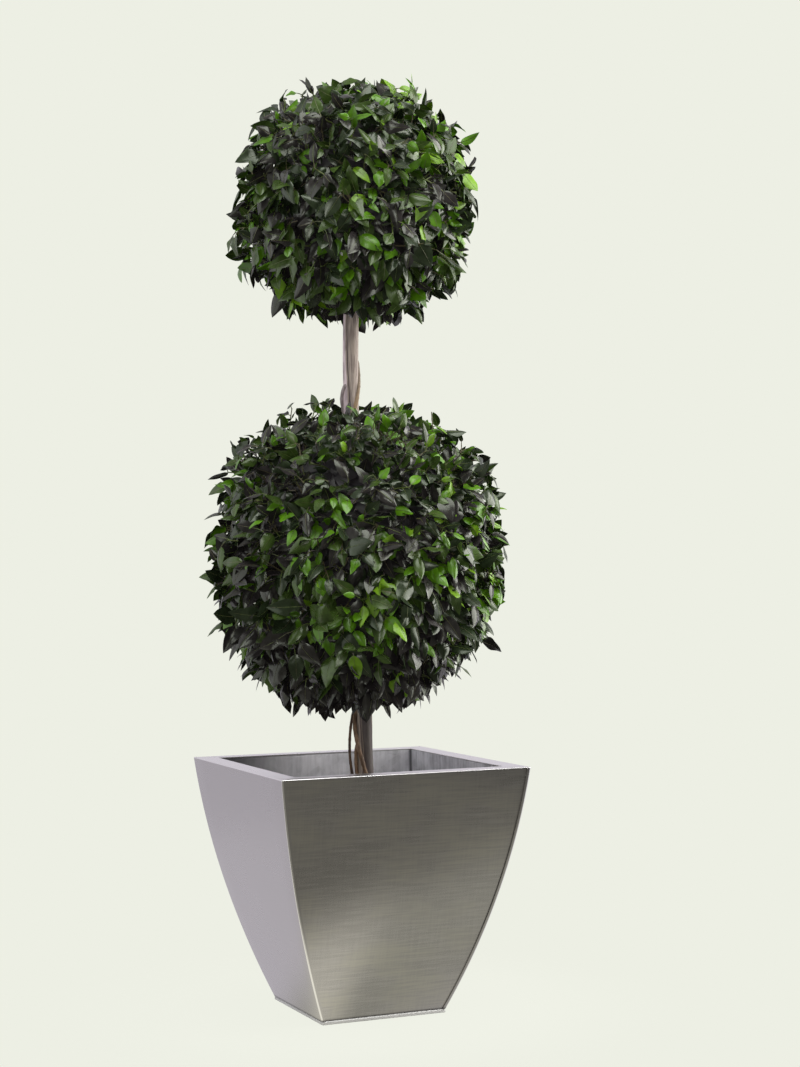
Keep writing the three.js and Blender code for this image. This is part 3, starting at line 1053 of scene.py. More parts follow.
    def build_liner(self) -> None:
        """Builds and dresses the open box that holds the soil."""
        profile = np.array([
            [self.liner_outer - self.lip, self.liner_bottom],
            [self.liner_outer, self.liner_bottom + self.lip],
            [self.liner_outer, self.liner_top - self.lip],
            [self.liner_outer - self.lip, self.liner_top],
            [self.liner_half + self.lip, self.liner_top],
            [self.liner_half, self.liner_top - self.lip],
            [self.liner_half, self.liner_bottom + self.sheet],
        ])
        zinc = Galvanised("galvanised_zinc", self.liner_half).material()
        piece = add_piece("zinc_liner", square_lathe(profile, self.liner_corner), zinc, Crease.SHEET)
        stand_for(piece, "liner_metal", "liner")

    def build_soil(self) -> None:
        """Builds and dresses the potting mix and its loose crumbs."""
        mix = PottingMix("potting_mix").material()
        stand_for(add_piece("potting_mix", self.soil_shell(), mix, Crease.ROUGH), "soil", "soil")
        stand_for(add_piece("soil_crumbs", self.crumb_shell(), mix, Crease.ROUGH), "soil", "soil")

    def build(self) -> None:
        """Builds and dresses the planter, its liner and its soil."""
        self.build_panels()
        self.build_plate()
        self.build_liner()
        self.build_soil()


# Trunk and vines


@dataclass(frozen=True)
class Lean:
    """The upright plane in which the plant leans to and fro."""

    turn: float = float(np.radians(-22.8))

    def axis(self) -> Array:
        """The level unit vector along the plane."""
        return level_way(self.turn)


@dataclass
class Trunk:
    """The bare stem: a fluted, tapering, leaning column of bark; heights and leans are in millimetres."""

    lean: Lean
    heights: tuple[float, ...] = (285.3, 319.0, 389.0, 605.0, 822.0, 934.0, 1096.0, 1130.0)
    leans: tuple[float, ...] = (13.0, 12.0, 11.0, 3.0, -4.0, -3.0, 0.0, 1.0)
    foot_radius: float = 10.8 * MM
    tip_radius: float = 10.0 * MM
    flare: float = 4 * MM
    flare_fade: float = 13 * MM
    flutes: int = 3
    flute_depth: float = 0.06
    flute_twist: float = 12.0
    flute_waver: float = 0.35
    groove_width: float = 0.55
    groove_depth: float = 1.5 * MM
    furrow_cell: Triple = (4 * MM, 4 * MM, 130 * MM)
    grain_cell: Triple = (1.6 * MM, 1.6 * MM, 26 * MM)
    swell_cell: Triple = (30 * MM, 30 * MM, 38 * MM)
    relief: Triple = (0.35, 0.1, 0.5)
    stem_tones: Triple = (0.39, 0.35, 0.0)
    rings: int = 520
    sides: int = 72

    def __post_init__(self) -> None:
        """Works out the slope of the lean at each point: the rise between its neighbours over their run."""
        self.knots = np.array(self.heights) * MM
        self.offsets = np.array(self.leans) * MM
        self.slopes = np.gradient(self.offsets, self.knots)
        self.ground, self.tip = self.knots[0], self.knots[-1]

    def centre(self, height: Array) -> Array:
        """The axis at heights: a cubic between neighbouring points that keeps both their slopes.

        Args:
            height: Heights; beyond the trunk's own, the lean stays as at its end.

        Returns:
            Points of the axis.
        """
        level = np.clip(height, self.ground, self.tip)
        span = np.clip(np.searchsorted(self.knots, level) - 1, 0, len(self.knots) - 2)
        run = self.knots[span + 1] - self.knots[span]
        share = (level - self.knots[span]) / run
        rest = 1.0 - share
        offset = (
            self.offsets[span] * rest**2 * (1.0 + 2.0 * share)
            + self.offsets[span + 1] * share**2 * (1.0 + 2.0 * rest)
            + run * share * rest * (self.slopes[span] * rest - self.slopes[span + 1] * share)
        )
        return offset[..., None] * self.lean.axis() + np.asarray(height)[..., None] * UP

    def radius(self, height: Array) -> Array:
        """Even taper from foot to tip, with a root flare that fades with height.

        Args:
            height: Heights.

        Returns:
            The radius at each.
        """
        share = (height - self.ground) / (self.tip - self.ground)
        taper = self.foot_radius + (self.tip_radius - self.foot_radius) * share
        return taper + self.flare * np.exp(-(height - self.ground) / self.flare_fade)

    def fluted(self, height: Array, angle: Array) -> Array:
        """The radius waves round the trunk like stems that have grown together."""
        phase = self.flutes * angle + self.flute_twist * height
        return self.radius(height) * (1.0 + self.flute_depth * np.cos(phase))

    def shell(self) -> tuple[Shell, Array]:
        """The bark: level rings of the fluted radius, with a groove down each flute and furrows from noise.

        Groove = depth * exp(-(distance from the flute's floor / width)^2), the distance being an angle.
        Each stem between two grooves has its own tone.

        Returns:
            The surface, and each point's groove value: the stem's tone, rising to 1 in the groove's floor.
        """
        height = np.linspace(self.ground, self.tip, self.rings)[:, None]
        spread = np.broadcast_to(height, (self.rings, self.sides))
        angle = round_angles(self.sides)[None]
        ring = level_way(np.broadcast_to(angle, spread.shape))
        place = ring * self.radius(spread)[..., None] + spread[..., None] * UP
        furrow = smooth_noise(place / np.array(self.furrow_cell), Seed.FURROW)
        grain = smooth_noise(place / np.array(self.grain_cell), Seed.GRAIN)
        swell = smooth_noise(place / np.array(self.swell_cell), Seed.SWELL)
        phase = self.flutes * angle + self.flute_twist * spread + self.flute_waver * swell
        aside = (phase + FULL_TURN) % FULL_TURN - np.pi
        groove = hump(aside, 0.0, self.groove_width)
        furrowed, grained, swollen = self.relief
        relief = (furrowed * furrow + grained * grain + swollen * swell) * MM - self.groove_depth * groove
        points = self.centre(spread) + ring * (self.fluted(spread, angle) + relief)[..., None]
        stem = np.floor((phase - np.pi) / FULL_TURN).astype(int) % self.flutes
        tone = np.array(self.stem_tones)[stem]
        shade = tone + (1.0 - tone) * groove
        return Shell(points.reshape(-1, 3), tube_faces(1, self.rings, self.sides)), shade.ravel()

    def build(self) -> None:
        """Builds and dresses the trunk."""
        finish = Bark(
            "trunk_bark", furrow=(0.05, 0.03, 0.036), low=(0.09, 0.077, 0.067), high=(0.75, 0.62, 0.645),
            change=(0.45, 0.75), contrast=0.45, groove_shade=0.85,
        )
        shell, shade = self.shell()
        piece = add_piece("bark_trunk", shell, finish.material(), Crease.BARK)
        mark_points(piece, Bark.GROOVE, shade)
        stand_for(piece, "bark", "trunk")


@dataclass(frozen=True)
class Vine:
    """An ivy stem that twines along the trunk; turns are degrees from the lean, at the bottom and the top."""

    node: str
    finish: Bark
    radius: float
    bottom: float
    top: float
    turns: Span
    bow: float
    sunk: float = 0.0
    tuck: float = 1.6
    joint_spacing: float = 16 * MM
    joint_width: float = 0.12
    wander_cell: float = 9 * MM
    tip_rings: int = 6
    tip_share: float = 0.55
    rings: int = 90
    sides: int = 12

    def shell(self, trunk: Trunk) -> Shell:
        """A tube beside the fluted trunk, bowed out by a half sine, with swollen joints along it.

        It is sunk into the bark by a share of its radius, and its tip tucks in altogether.

        Args:
            trunk: The trunk that it climbs.

        Returns:
            The closed tube.
        """
        share = np.linspace(0.0, 1.0, self.rings)
        height = self.bottom + (self.top - self.bottom) * share
        angle = trunk.lean.turn - np.radians(self.turns[0] + (self.turns[1] - self.turns[0]) * share)
        seat = GAP + self.radius * (1.0 - self.sunk - self.tuck * share**10)
        stand_off = trunk.fluted(height, angle) + seat + self.bow * np.sin(np.pi * share)
        path = trunk.centre(height) + stand_off[:, None] * level_way(angle)
        joint = hump((height / self.joint_spacing) % 1.0, 0.5, self.joint_width)
        wander = smooth_noise(path / self.wander_cell, Seed.VINE)
        girth = self.radius * (0.9 + 0.12 * joint + 0.1 * wander)
        girth[-self.tip_rings:] *= np.linspace(1.0, self.tip_share, self.tip_rings)
        return tube_shell(path[None], girth[None], self.sides)

    def build(self, trunk: Trunk) -> None:
        """Builds and dresses the vine."""
        piece = add_piece(self.node + "_stem", self.shell(trunk), self.finish.material(), Crease.BARK)
        stand_for(piece, "vine_bark", self.node)


# Foliage


class Tint(Enum):
    """The greens that leaves are dealt, with their base colour, roughness and share of the sprays."""

    # Leaves deep inside the ball: real leaves, but their dark purple colour is painted shade between the
    # sprays.
    OLD = ((0.034, 0.030, 0.034), 0.50, 0.00)
    SHADE = ((0.023, 0.020, 0.020), 0.23, 0.22)
    DEEP = ((0.018, 0.028, 0.012), 0.23, 0.29)
    OLIVE = ((0.040, 0.072, 0.013), 0.26, 0.24)
    BRIGHT = ((0.074, 0.190, 0.005), 0.30, 0.20)
    LIME = ((0.130, 0.260, 0.010), 0.34, 0.05)

    def __init__(self, colour: Colour, roughness: float, share: float) -> None:
        """Keeps a green's values under their names.

        Args:
            colour: Its base colour.
            roughness: Its roughness.
            share: Its share of the sprays.
        """
        self.colour = colour
        self.roughness = roughness
        self.share = share

    @property
    def number(self) -> int:
        """The green's place in the list."""
        return list(Tint).index(self)


@dataclass
class Leaves:
    """Many leaves as arrays: where each blade starts, its three directions, and its own proportions."""

    root: Array
    base: Array
    along: Array
    across: Array
    up: Array
    length: Array
    width: Array
    fold: Array
    cup: Array
    curl: Array
    sway: Array
    ripple: Array
    phase: Array
    lobe: Array
    tint: Array
    ROOT_POWER: ClassVar[float] = 0.6
    TIP_POWER: ClassVar[float] = 0.95
    TIP_HALF: ClassVar[float] = 0.008
    SHOULDER: ClassVar[Triple] = (0.3, 0.34, 0.1)
    WAIST: ClassVar[Triple] = (0.22, 0.6, 0.13)
    WAVES: ClassVar[float] = 1.4

    def picked(self, keep: Array) -> "Leaves":
        """The leaves that a mask or list of numbers picks out."""
        return Leaves(**{name: values[keep] for name, values in vars(self).items()})

    @staticmethod
    def joined(sets: list["Leaves"]) -> "Leaves":
        """Several sets of leaves as one."""
        names = vars(sets[0])
        return Leaves(**{name: np.concatenate([vars(part)[name] for part in sets]) for name in names})

    def midline(self, share: Array) -> Array:
        """The rib's line: straight on, dropping by curl * share^2 and straying by sway * share^2.

        Args:
            share: Places along the blade.

        Returns:
            Points shaped (leaves, places, 3).
        """
        bent = share[None, :, None] ** 2
        step = share[None, :, None] * self.along[:, None]
        step = step - bent * self.curl[:, None, None] * self.up[:, None]
        step = step + bent * self.sway[:, None, None] * self.across[:, None]
        return self.base[:, None] + self.length[:, None, None] * step

    def half_widths(self, share: Array) -> Array:
        """Half widths along the blades: u^root (1-u)^tip scaled to one at its widest, plus lobes.

        A lobed leaf has a hump at its shoulder and a dip at its waist, each a height, a place and a width.

        Args:
            share: Places along the blade.

        Returns:
            Half widths shaped (leaves, places, 1).
        """
        root, tip = self.ROOT_POWER, self.TIP_POWER
        widest = root / (root + tip)
        outline = share**root * (1.0 - share) ** tip / (widest**root * (1.0 - widest) ** tip)
        (rise, *shoulder), (dip, *waist) = self.SHOULDER, self.WAIST
        lobed = rise * hump(share, *shoulder) - dip * hump(share, *waist)
        half = np.maximum(outline * (1.0 + self.lobe[:, None] * lobed), self.TIP_HALF)
        return (half * (0.5 * self.width)[:, None])[:, :, None]

    def blades(self, rows: int, columns: int) -> Shell:
        """Leaf blades on a grid along and across: folded up beside the rib, cupped down, rippled at the edge.

        Args:
            rows: Points along each blade.
            columns: Points across it.

        Returns:
            All the blades as one surface.
        """
        share = 0.004 + 0.996 * np.linspace(0.0, 1.0, rows) ** 1.1
        side = np.linspace(-1.0, 1.0, columns)
        half = self.half_widths(share)
        fold, phase = self.fold[:, None, None], self.phase[:, None, None]
        out = half * np.cos(fold) * side
        wave = np.sin(FULL_TURN * self.WAVES * share[None, :, None] + phase * side)
        ripple = self.ripple[:, None, None] * half * side**2 * wave
        rise = np.sin(fold) * np.abs(side) - self.cup[:, None, None] * side**2
        lift = half * rise + ripple
        points = self.midline(share)[:, :, None] + out[..., None] * self.across[:, None, None]
        points = points + lift[..., None] * self.up[:, None, None]
        quads = repeated_faces(grid_faces(rows, columns), len(self.root), rows * columns)
        return Shell(points.reshape(-1, 3), [quads])

    def ribs(self) -> Shell:
        """Each leaf's stalk and rib as one thin tube, from the twig along the blade nearly to its tip.

        Returns:
            All the tubes as one surface.
        """
        rib_share = np.linspace(0.0, 0.86, 5)
        stalk_share = np.array([0.0, 0.6])
        middle = self.base - 0.3 * np.linalg.norm(self.base - self.root, axis=1)[:, None] * self.along
        stalk = bent_lines(np.stack([self.root, middle, self.base], axis=1), stalk_share)
        paths = np.concatenate([stalk, self.midline(rib_share) + 0.1 * MM * self.up[:, None]], axis=1)
        girth = np.concatenate([[0.85, 0.65], 0.5 * (1.0 - 0.75 * rib_share)]) * MM
        return tube_shell(paths, np.broadcast_to(girth, paths.shape[:2]), 3)


@dataclass(frozen=True)
class LeafHabit:
    """How this ivy's leaves vary: the ends of even draws, or the middle and spread of normal ones."""

    stalks: Span = (0.15, 0.4)
    stalk_rise: float = 0.3
    thrust: Span = (0.4, 1.2)
    droop: Span = (0.15, 0.9)
    face_up: float = 0.45
    face_out: float = 0.7
    face_stray: Span = (0.0, 0.4)
    widths: Span = (0.5, 0.77)
    folds: Span = (0.05, 0.6)
    cups: Span = (0.15, 0.75)
    curls: Span = (0.3, 0.18)
    sways: Span = (0.0, 0.1)
    ripples: Span = (0.0, 0.2)
    phases: Span = (0.5, 2.5)
    lobed_share: float = 0.25
    lobes: Span = (0.3, 0.9)
    young_size: float = 0.85
    least: float = 14 * MM
    tries: int = 6
    more_spread: float = 0.3
    root_limit: float = 0.98


@dataclass(frozen=True)
class InnerLayer:
    """Leaves that lie across the inner part of the twigs, in one green below the dusk line and one above."""

    first: float
    last: float
    leaves: int
    limit: float
    tints: tuple[Tint, Tint]
    grown: float


@dataclass
class LeafBall:
    """A clipped ball of ivy: boughs from the trunk, twigs, shoots and leaves inside one rounded envelope."""

    name: str
    trunk: Trunk
    seed: int
    lean: float
    height: float
    half_width: float
    half_height: float
    squareness: Span
    fullness: float
    slant: float
    twigs: int
    leaf_sizes: Span
    leaf_growth: float
    # How low a spray hangs before it takes the painted shade green.
    shade_line: Span
    dusk_line: float
    lump_size: float = 62 * MM
    lump_depth: float = 0.055
    core_share: float = 0.84
    boughs: int = 20
    bough_foot: float = 0.5
    bough_share: float = 0.5
    bough_rise: float = 0.06
    bough_radii: Span = (3.4 * MM, 1.9 * MM)
    twig_roots: Span = (0.55, 1.0)
    twig_middle: float = 0.6
    twig_tip: Span = (0.72, 0.86)
    twig_stray: float = 0.03
    twig_bend: float = 5 * MM
    twig_radii: Span = (1.7 * MM, 0.9 * MM)
    twig_leaves: Span = (0.7, 1.0)
    shoots: int = 3
    shoot_roots: Span = (0.4, 0.8)
    shoot_turn: float = 0.25
    shoot_spread: float = 1.2
    shoot_spreads: Span = (0.5, 1.3)
    shoot_length: float = 44 * MM
    shoot_lengths: Span = (0.7, 1.2)
    shoot_bow: float = 0.12
    shoot_tip: float = 0.92
    shoot_radii: Span = (1.1 * MM, 0.7 * MM)
    shoot_leaves: Triple = (0.55, 0.8, 1.0)
    leaf_place: float = 0.05
    leaf_spreads: Span = (0.15, 1.2)
    spray_limits: Span = (0.9, 1.0)
    stray_share: float = 0.2
    stray_limit: float = 1.045
    inner_place: float = 0.06
    inner_spreads: Span = (1.0, 3.0)
    own_luck: float = 0.55
    # Painted light: how much brighter the greens are toward the lit side.
    lit_side_share: float = 0.09
    patch_share: float = 0.25
    bare_room: float = 27 * MM
    leaf_clear: float = 5 * MM
    halvings: int = 20
    habit: LeafHabit = LeafHabit()
    layers: tuple[InnerLayer, ...] = (
        InnerLayer(first=0.5, last=1.0, leaves=4, limit=0.87, tints=(Tint.SHADE, Tint.DEEP), grown=1.0),
        # The innermost layer, in the painted-shade inner green.
        InnerLayer(first=0.0, last=0.7, leaves=9, limit=0.68, tints=(Tint.OLD, Tint.OLD), grown=1.5),
    )

    def __post_init__(self) -> None:
        """Works out the ball's centre and starts its stream of random numbers."""
        self.centre = self.lean * self.trunk.lean.axis() + self.height * UP
        self.draw = np.random.default_rng(self.seed)

    def reach(self, directions: Array) -> Array:
        """How far the envelope lies from the centre: (across^n + upright^n)^(-1/n), dented by noise.

        The power n, which squares the outline, differs between the upper and the lower half.
        Below the centre the envelope slants to one side.

        Args:
            directions: Unit vectors.

        Returns:
            The distance along each.
        """
        sunk = np.maximum(-directions[..., 2:], 0.0)
        level = directions + self.slant * sunk * self.trunk.lean.axis()
        across = np.linalg.norm(level[..., :2], axis=-1) / self.half_width
        upright = np.abs(directions[..., 2]) / self.half_height
        power = np.where(directions[..., 2] > 0.0, *self.squareness)
        plain = (across**power + upright**power) ** (-1.0 / power)
        dent = 0.5 + 0.5 * smooth_noise(directions * (self.half_width / self.lump_size), self.seed)
        return plain * (self.fullness - self.lump_depth * dent)

    def depth(self, points: Array) -> Array:
        """How far out points lie, as a share of the envelope's reach."""
        offset = points - self.centre
        return np.linalg.norm(offset, axis=-1) / self.reach(unit(offset))

    def room_along(self, starts: Array, along: Array, limit: Array) -> Array:
        """How far rays run before they pass a share of the envelope, found by halving.

        Args:
            starts: Where the rays start.
            along: Their directions.
            limit: The share of the envelope's reach that each may fill.

        Returns:
            The length of each ray.
        """
        low = np.zeros(len(starts))
        high = np.full(len(starts), self.half_width)
        for _ in range(self.halvings):
            middle = (low + high) / 2.0
            inside = self.depth(starts + middle[:, None] * along) <= limit
            low, high = np.where(inside, middle, low), np.where(inside, high, middle)
        return low

    def clear_of_limbs(self, points: Array) -> Array:
        """Whether points keep off the trunk, and off the vines where those climb the bare stretches.

        Args:
            points: The points.

        Returns:
            True or false for each.
        """
        height = points[..., 2]
        axis = self.trunk.centre(height)
        away = np.linalg.norm((points - axis)[..., :2], axis=-1)
        outside = np.abs(height - self.height) > self.core_share * self.half_height - self.leaf_clear
        on_trunk = np.clip(height, self.trunk.ground, self.trunk.tip)
        room = np.where(outside, self.bare_room, self.trunk.radius(on_trunk) + self.leaf_clear)
        return (away > room) | (height > self.trunk.tip + self.leaf_clear)

    def sideways(self, outward: Array, turn: Array) -> Array:
        """Unit vectors square to the outward ones, turned about them by an angle from the level."""
        level = level_across(outward)
        return np.cos(turn)[:, None] * level + np.sin(turn)[:, None] * np.cross(outward, level)

    def grow_boughs(self) -> Array:
        """Boughs from the trunk's axis outwards, each bent upwards a little.

        Returns:
            Start, middle and end of each bough.
        """
        aim = even_directions(self.boughs, self.seed)
        foot = self.trunk.centre(self.height + self.bough_foot * self.half_height * aim[:, 2])
        end = self.centre + (self.bough_share * self.reach(aim))[:, None] * aim
        middle = 0.5 * (foot + end) + self.bough_rise * self.half_height * UP
        return np.stack([foot, middle, end], axis=1)

    def grow_twigs(self, boughs: Array) -> Array:
        """Twigs that leave the nearest bough and run straight out, evenly spread all round.

        Args:
            boughs: Start, middle and end of each bough.

        Returns:
            Start, middle and end of each twig.
        """
        aim = even_directions(self.twigs, 0.0)
        aim = unit(aim + self.draw.normal(0.0, self.twig_stray, aim.shape))
        bough_aim = unit(boughs[:, 2] - self.centre)
        nearest = (aim @ bough_aim.T).argmax(axis=1)
        place = self.draw.uniform(*self.twig_roots, (self.twigs, 1))
        start = bent_lines(boughs[nearest], place)[:, 0]
        reach = self.reach(aim)
        end = self.centre + (self.draw.uniform(*self.twig_tip, self.twigs) * reach)[:, None] * aim
        middle = self.centre + (self.twig_middle * reach)[:, None] * aim
        middle = middle + self.draw.normal(0.0, self.twig_bend, middle.shape)
        return np.stack([start, middle, end], axis=1)

    def grow_shoots(self, twigs: Array) -> Array:
        """Shoots that fork from each twig, set evenly round it and spread sideways.

        Args:
            twigs: Start, middle and end of each twig.

        Returns:
            Start, middle and end of each shoot.
        """
        parent = np.repeat(np.arange(len(twigs)), self.shoots)
        order = np.tile(np.arange(self.shoots), len(twigs))
        count = len(parent)
        place = self.draw.uniform(*self.shoot_roots, (count, 1))
        fork = bent_lines(twigs[parent], place)[:, 0]
        outward = unit(fork - self.centre)
        turn = np.repeat(self.draw.uniform(0.0, FULL_TURN, len(twigs)), self.shoots)
        turn = turn + FULL_TURN * order / self.shoots + self.draw.normal(0.0, self.shoot_turn, count)
        spread = self.shoot_spread * self.draw.uniform(*self.shoot_spreads, (count, 1))
        along = unit(self.sideways(outward, turn) * spread + outward)
        length = self.shoot_length * self.draw.uniform(*self.shoot_lengths, count)
        end = fork + length[:, None] * along
        too_far = np.minimum(1.0, self.shoot_tip / self.depth(end))
        end = self.centre + (end - self.centre) * too_far[:, None]
        middle = 0.5 * (fork + end) + self.shoot_bow * length[:, None] * outward
        return np.stack([fork, middle, end], axis=1)

    def set_leaves(self, roots: Array, turn: Array, limit: Array, spread: Array, tint: Array,
                   grown: float = 1.0) -> Leaves:
        """Leaves that point outwards, spread sideways and droop, the more the lower they hang.

        A leaf that would pass its share of the envelope is spread further, then cut to the room there
        is; one that is left too short, or that touches a limb, is dropped.

        Args:
            roots: Where the stalks start.
            turn: Each leaf's angle about the outward direction.
            limit: The share of the envelope's reach that each may fill.
            spread: How far each leans sideways for one part outwards.
            tint: The number of each leaf's green.
            grown: Size as a share of the usual one.

        Returns:
            The leaves that found room.
        """
        habit, draw, count = self.habit, self.draw, len(roots)
        outward = unit(roots - self.centre)
        side = self.sideways(outward, turn)
        young = np.where(tint >= Tint.BRIGHT.number, habit.young_size, 1.0)
        young = young * (1.0 - self.leaf_growth * outward[:, 2])
        wanted = grown * young * draw.uniform(*self.leaf_sizes, count)
        stalk = wanted * draw.uniform(*habit.stalks, count)
        thrust = draw.uniform(*habit.thrust, (count, 1))
        droop = habit.droop[0] + (habit.droop[1] - habit.droop[0]) * (0.5 - 0.5 * outward[:, 2:])
        for _ in range(habit.tries):
            along = unit(thrust * outward + spread[:, None] * side - droop * UP)
            base = roots + stalk[:, None] * unit(along + habit.stalk_rise * UP)
            room = self.room_along(base, along, limit)
            spread = np.where(room < wanted, spread + habit.more_spread, spread)
        length = np.minimum(wanted, room)
        level_out = unit(outward * np.array([1.0, 1.0, 0.0]))
        facing = habit.face_up * UP + habit.face_out * level_out
        facing = facing + draw.normal(*habit.face_stray, outward.shape)
        across = unit(np.cross(facing, along))
        leaves = Leaves(
            root=roots,
            base=base,
            along=along,
            across=across,
            up=np.cross(along, across),
            length=length,
            width=length * draw.uniform(*habit.widths, count),
            fold=draw.uniform(*habit.folds, count),
            cup=draw.uniform(*habit.cups, count),
            curl=draw.normal(*habit.curls, count),
            sway=draw.normal(*habit.sways, count),
            ripple=draw.uniform(*habit.ripples, count),
            phase=draw.uniform(*habit.phases, count),
            lobe=np.where(draw.random(count) < habit.lobed_share, draw.uniform(*habit.lobes, count), 0.0),
            tint=tint,
        )
        clear = self.clear_of_limbs(leaves.midline(np.array([0.0, 0.5, 1.0]))).all(axis=1)
        return leaves.picked(clear & (self.depth(base) < habit.root_limit) & (length > habit.least))

    def dress_sticks(self, sticks: Array, places: Array) -> Leaves:
        """Leaves along twigs and shoots, each turned on from the last by the golden angle.

        Sprays that hang low under the ball are all dealt the dark shade green, as painted shade under the
        ball.

        Args:
            sticks: Start, middle and end of each stick.
            places: Shares along the stick where leaves grow.

        Returns:
            The leaves.
        """
        count, each = len(sticks), len(places)
        shares = places + self.draw.uniform(-self.leaf_place, self.leaf_place, (count, each))
        roots = bent_lines(sticks, np.minimum(shares, 1.0)).reshape(-1, 3)
        first = self.draw.uniform(0.0, FULL_TURN, count)[:, None]
        turn = (first + GOLDEN_ANGLE * np.arange(each)).ravel()
        limit = np.repeat(self.draw.uniform(*self.spray_limits, count), each)
        limit = np.where(self.draw.random(len(roots)) < self.stray_share, self.stray_limit, limit)
        spread = self.draw.uniform(*self.leaf_spreads, len(roots))
        # Painted shade: sprays that hang below the shade line take the dark shade green.
        line = np.repeat(self.draw.uniform(*self.shade_line, count), each)
        hangs = unit(roots - self.centre)[:, 2] < line
        tint = np.where(hangs, Tint.SHADE.number, self.deal_tints(sticks[:, 2], each))
        return self.set_leaves(roots, turn, limit, spread, tint)

    def dress_inside(self, twigs: Array, layer: InnerLayer) -> Leaves:
        """Leaves that close the view through the ball.

        Args:
            twigs: Start, middle and end of each twig.
            layer: Where they lie, and in which greens.

        Returns:
            The leaves.
        """
        places = np.linspace(layer.first, layer.last, layer.leaves)
        shares = places + self.draw.uniform(-self.inner_place, self.inner_place, (len(twigs), layer.leaves))
        roots = bent_lines(twigs, shares).reshape(-1, 3)
        count = len(roots)
        turn = self.draw.uniform(0.0, FULL_TURN, count)
        spread = self.draw.uniform(*self.inner_spreads, count)
        below, above = layer.tints
        low = unit(roots - self.centre)[:, 2] < self.dusk_line
        tint = np.where(low, below.number, above.number)
        return self.set_leaves(roots, turn, np.full(count, layer.limit), spread, tint, layer.grown)

    def deal_tints(self, tips: Array, leaves: int) -> Array:
        """A green for each spray by the greens' shares, from which some of its leaves stray.

        The greens are brighter toward the lit side, to which the trunk leans, as painted light, and in random
        patches all over.

        Args:
            tips: Where the sprays end.
            leaves: Leaves on each.

        Returns:
            The number of each leaf's green.
        """
        steps = np.cumsum([tint.share for tint in Tint])
        size = (len(tips), leaves)
        strays = self.draw.random(size) < self.own_luck
        luck = np.where(strays, self.draw.random(size), self.draw.random((len(tips), 1)))
        outward = unit(tips - self.centre)
        patch = smooth_noise(outward * (self.half_width / self.lump_size), self.seed + 1)
        # Painted light toward the lit side, plus random patches.
        light_and_patches = self.lit_side_share * outward @ self.trunk.lean.axis() + self.patch_share * patch
        return np.searchsorted(steps, np.clip(luck + light_and_patches[:, None], 1e-6, 1.0 - 1e-6)).ravel()

    @staticmethod
    def stick_shell(ends: Array, rings: int, radii: Span, sides: int) -> Shell:
        """Bent tapering sticks as tubes.

        Args:
            ends: Start, middle and end of each stick.
            rings: Rings along each.
            radii: Radius at the start and at the end.
            sides: Points in each ring.

        Returns:
            All the sticks as one surface.
        """
        steps = np.linspace(0.0, 1.0, rings)
        girth = radii[0] + (radii[1] - radii[0]) * steps
        return tube_shell(bent_lines(ends, steps), np.broadcast_to(girth, (len(ends), rings)), sides)

    def build(self, greens: dict[Tint, bpy.types.Material], rib: bpy.types.Material,
              wood: bpy.types.Material) -> None:
        """Grows the ball and joins its sticks, its ribs and each green's leaves into pieces.

        Args:
            greens: The material of each green.
            rib: The material of shoots, stalks and ribs.
            wood: The material of boughs and twigs.
        """
        boughs = self.grow_boughs()
        twigs = self.grow_twigs(boughs)
        shoots = self.grow_shoots(twigs)
        outer = Leaves.joined([
            self.dress_sticks(twigs, np.array(self.twig_leaves)),
            self.dress_sticks(shoots, np.array(self.shoot_leaves)),
        ])
        leaves = Leaves.joined([outer, *(self.dress_inside(twigs, layer) for layer in self.layers)])
        LOG.info("%s: %d leaves", self.name, len(leaves.root))
        wooden = join_shells([
            self.stick_shell(boughs, 7, self.bough_radii, 6),
            self.stick_shell(twigs, 7, self.twig_radii, 5),
        ])
        green = join_shells([self.stick_shell(shoots, 4, self.shoot_radii, 4), outer.ribs()])
        pieces = [("twigs", wooden, wood, Crease.ROUGH), ("leaf_ribs", green, rib, Crease.RIB)]
        for tint in Tint:
            grid = (6, 3) if tint is Tint.OLD else (9, 5)
            shell = leaves.picked(leaves.tint == tint.number).blades(*grid)
            pieces.append((f"leaves_{tint.name.lower()}", shell, greens[tint], Crease.LEAF))
        for kind, shell, material, crease in pieces:
            piece = add_piece(f"{self.name}_{kind}", shell, material, crease)
            stand_for(piece, "foliage", self.name + "_foliage")


# Studio


@dataclass(frozen=True)
class PhotoCamera:
    """The camera at the photograph's viewing angle, as fitted to the planter's edges."""

    eye: Triple = (-1.0587, -2.5198, 0.5957)
    heading_deg: float = -24.07
    pitch_deg: float = 0.923
    roll_deg: float = -0.447
    focal_pixels: float = 2008.0
    image_height: float = 1067.0
    sensor: float = 36.0

    def build(self) -> None:
        """Makes the camera: forward from heading and pitch, then right and up turned by the roll."""
        heading, pitch, roll = np.radians([self.heading_deg, self.pitch_deg, self.roll_deg])
        right = level_way(heading)
        level = np.cross(UP, right)
        ahead = level * np.cos(pitch) + UP * np.sin(pitch)
        upright = UP * np.cos(pitch) - level * np.sin(pitch)
        rolled_right = right * np.cos(roll) + upright * np.sin(roll)
        rolled_up = upright * np.cos(roll) - right * np.sin(roll)
        lens = bpy.data.cameras.new("photo_camera")
        lens.sensor_fit = "VERTICAL"
        lens.sensor_height = self.sensor
        lens.lens = self.focal_pixels * self.sensor / self.image_height
        camera = bpy.data.objects.new("photo_camera", lens)
        turn = np.column_stack([rolled_right, rolled_up, -ahead])
        camera.matrix_world = Matrix.Translation(self.eye) @ Matrix(turn.tolist()).to_4x4()
        bpy.context.scene.collection.objects.link(camera)
        bpy.context.scene.camera = camera


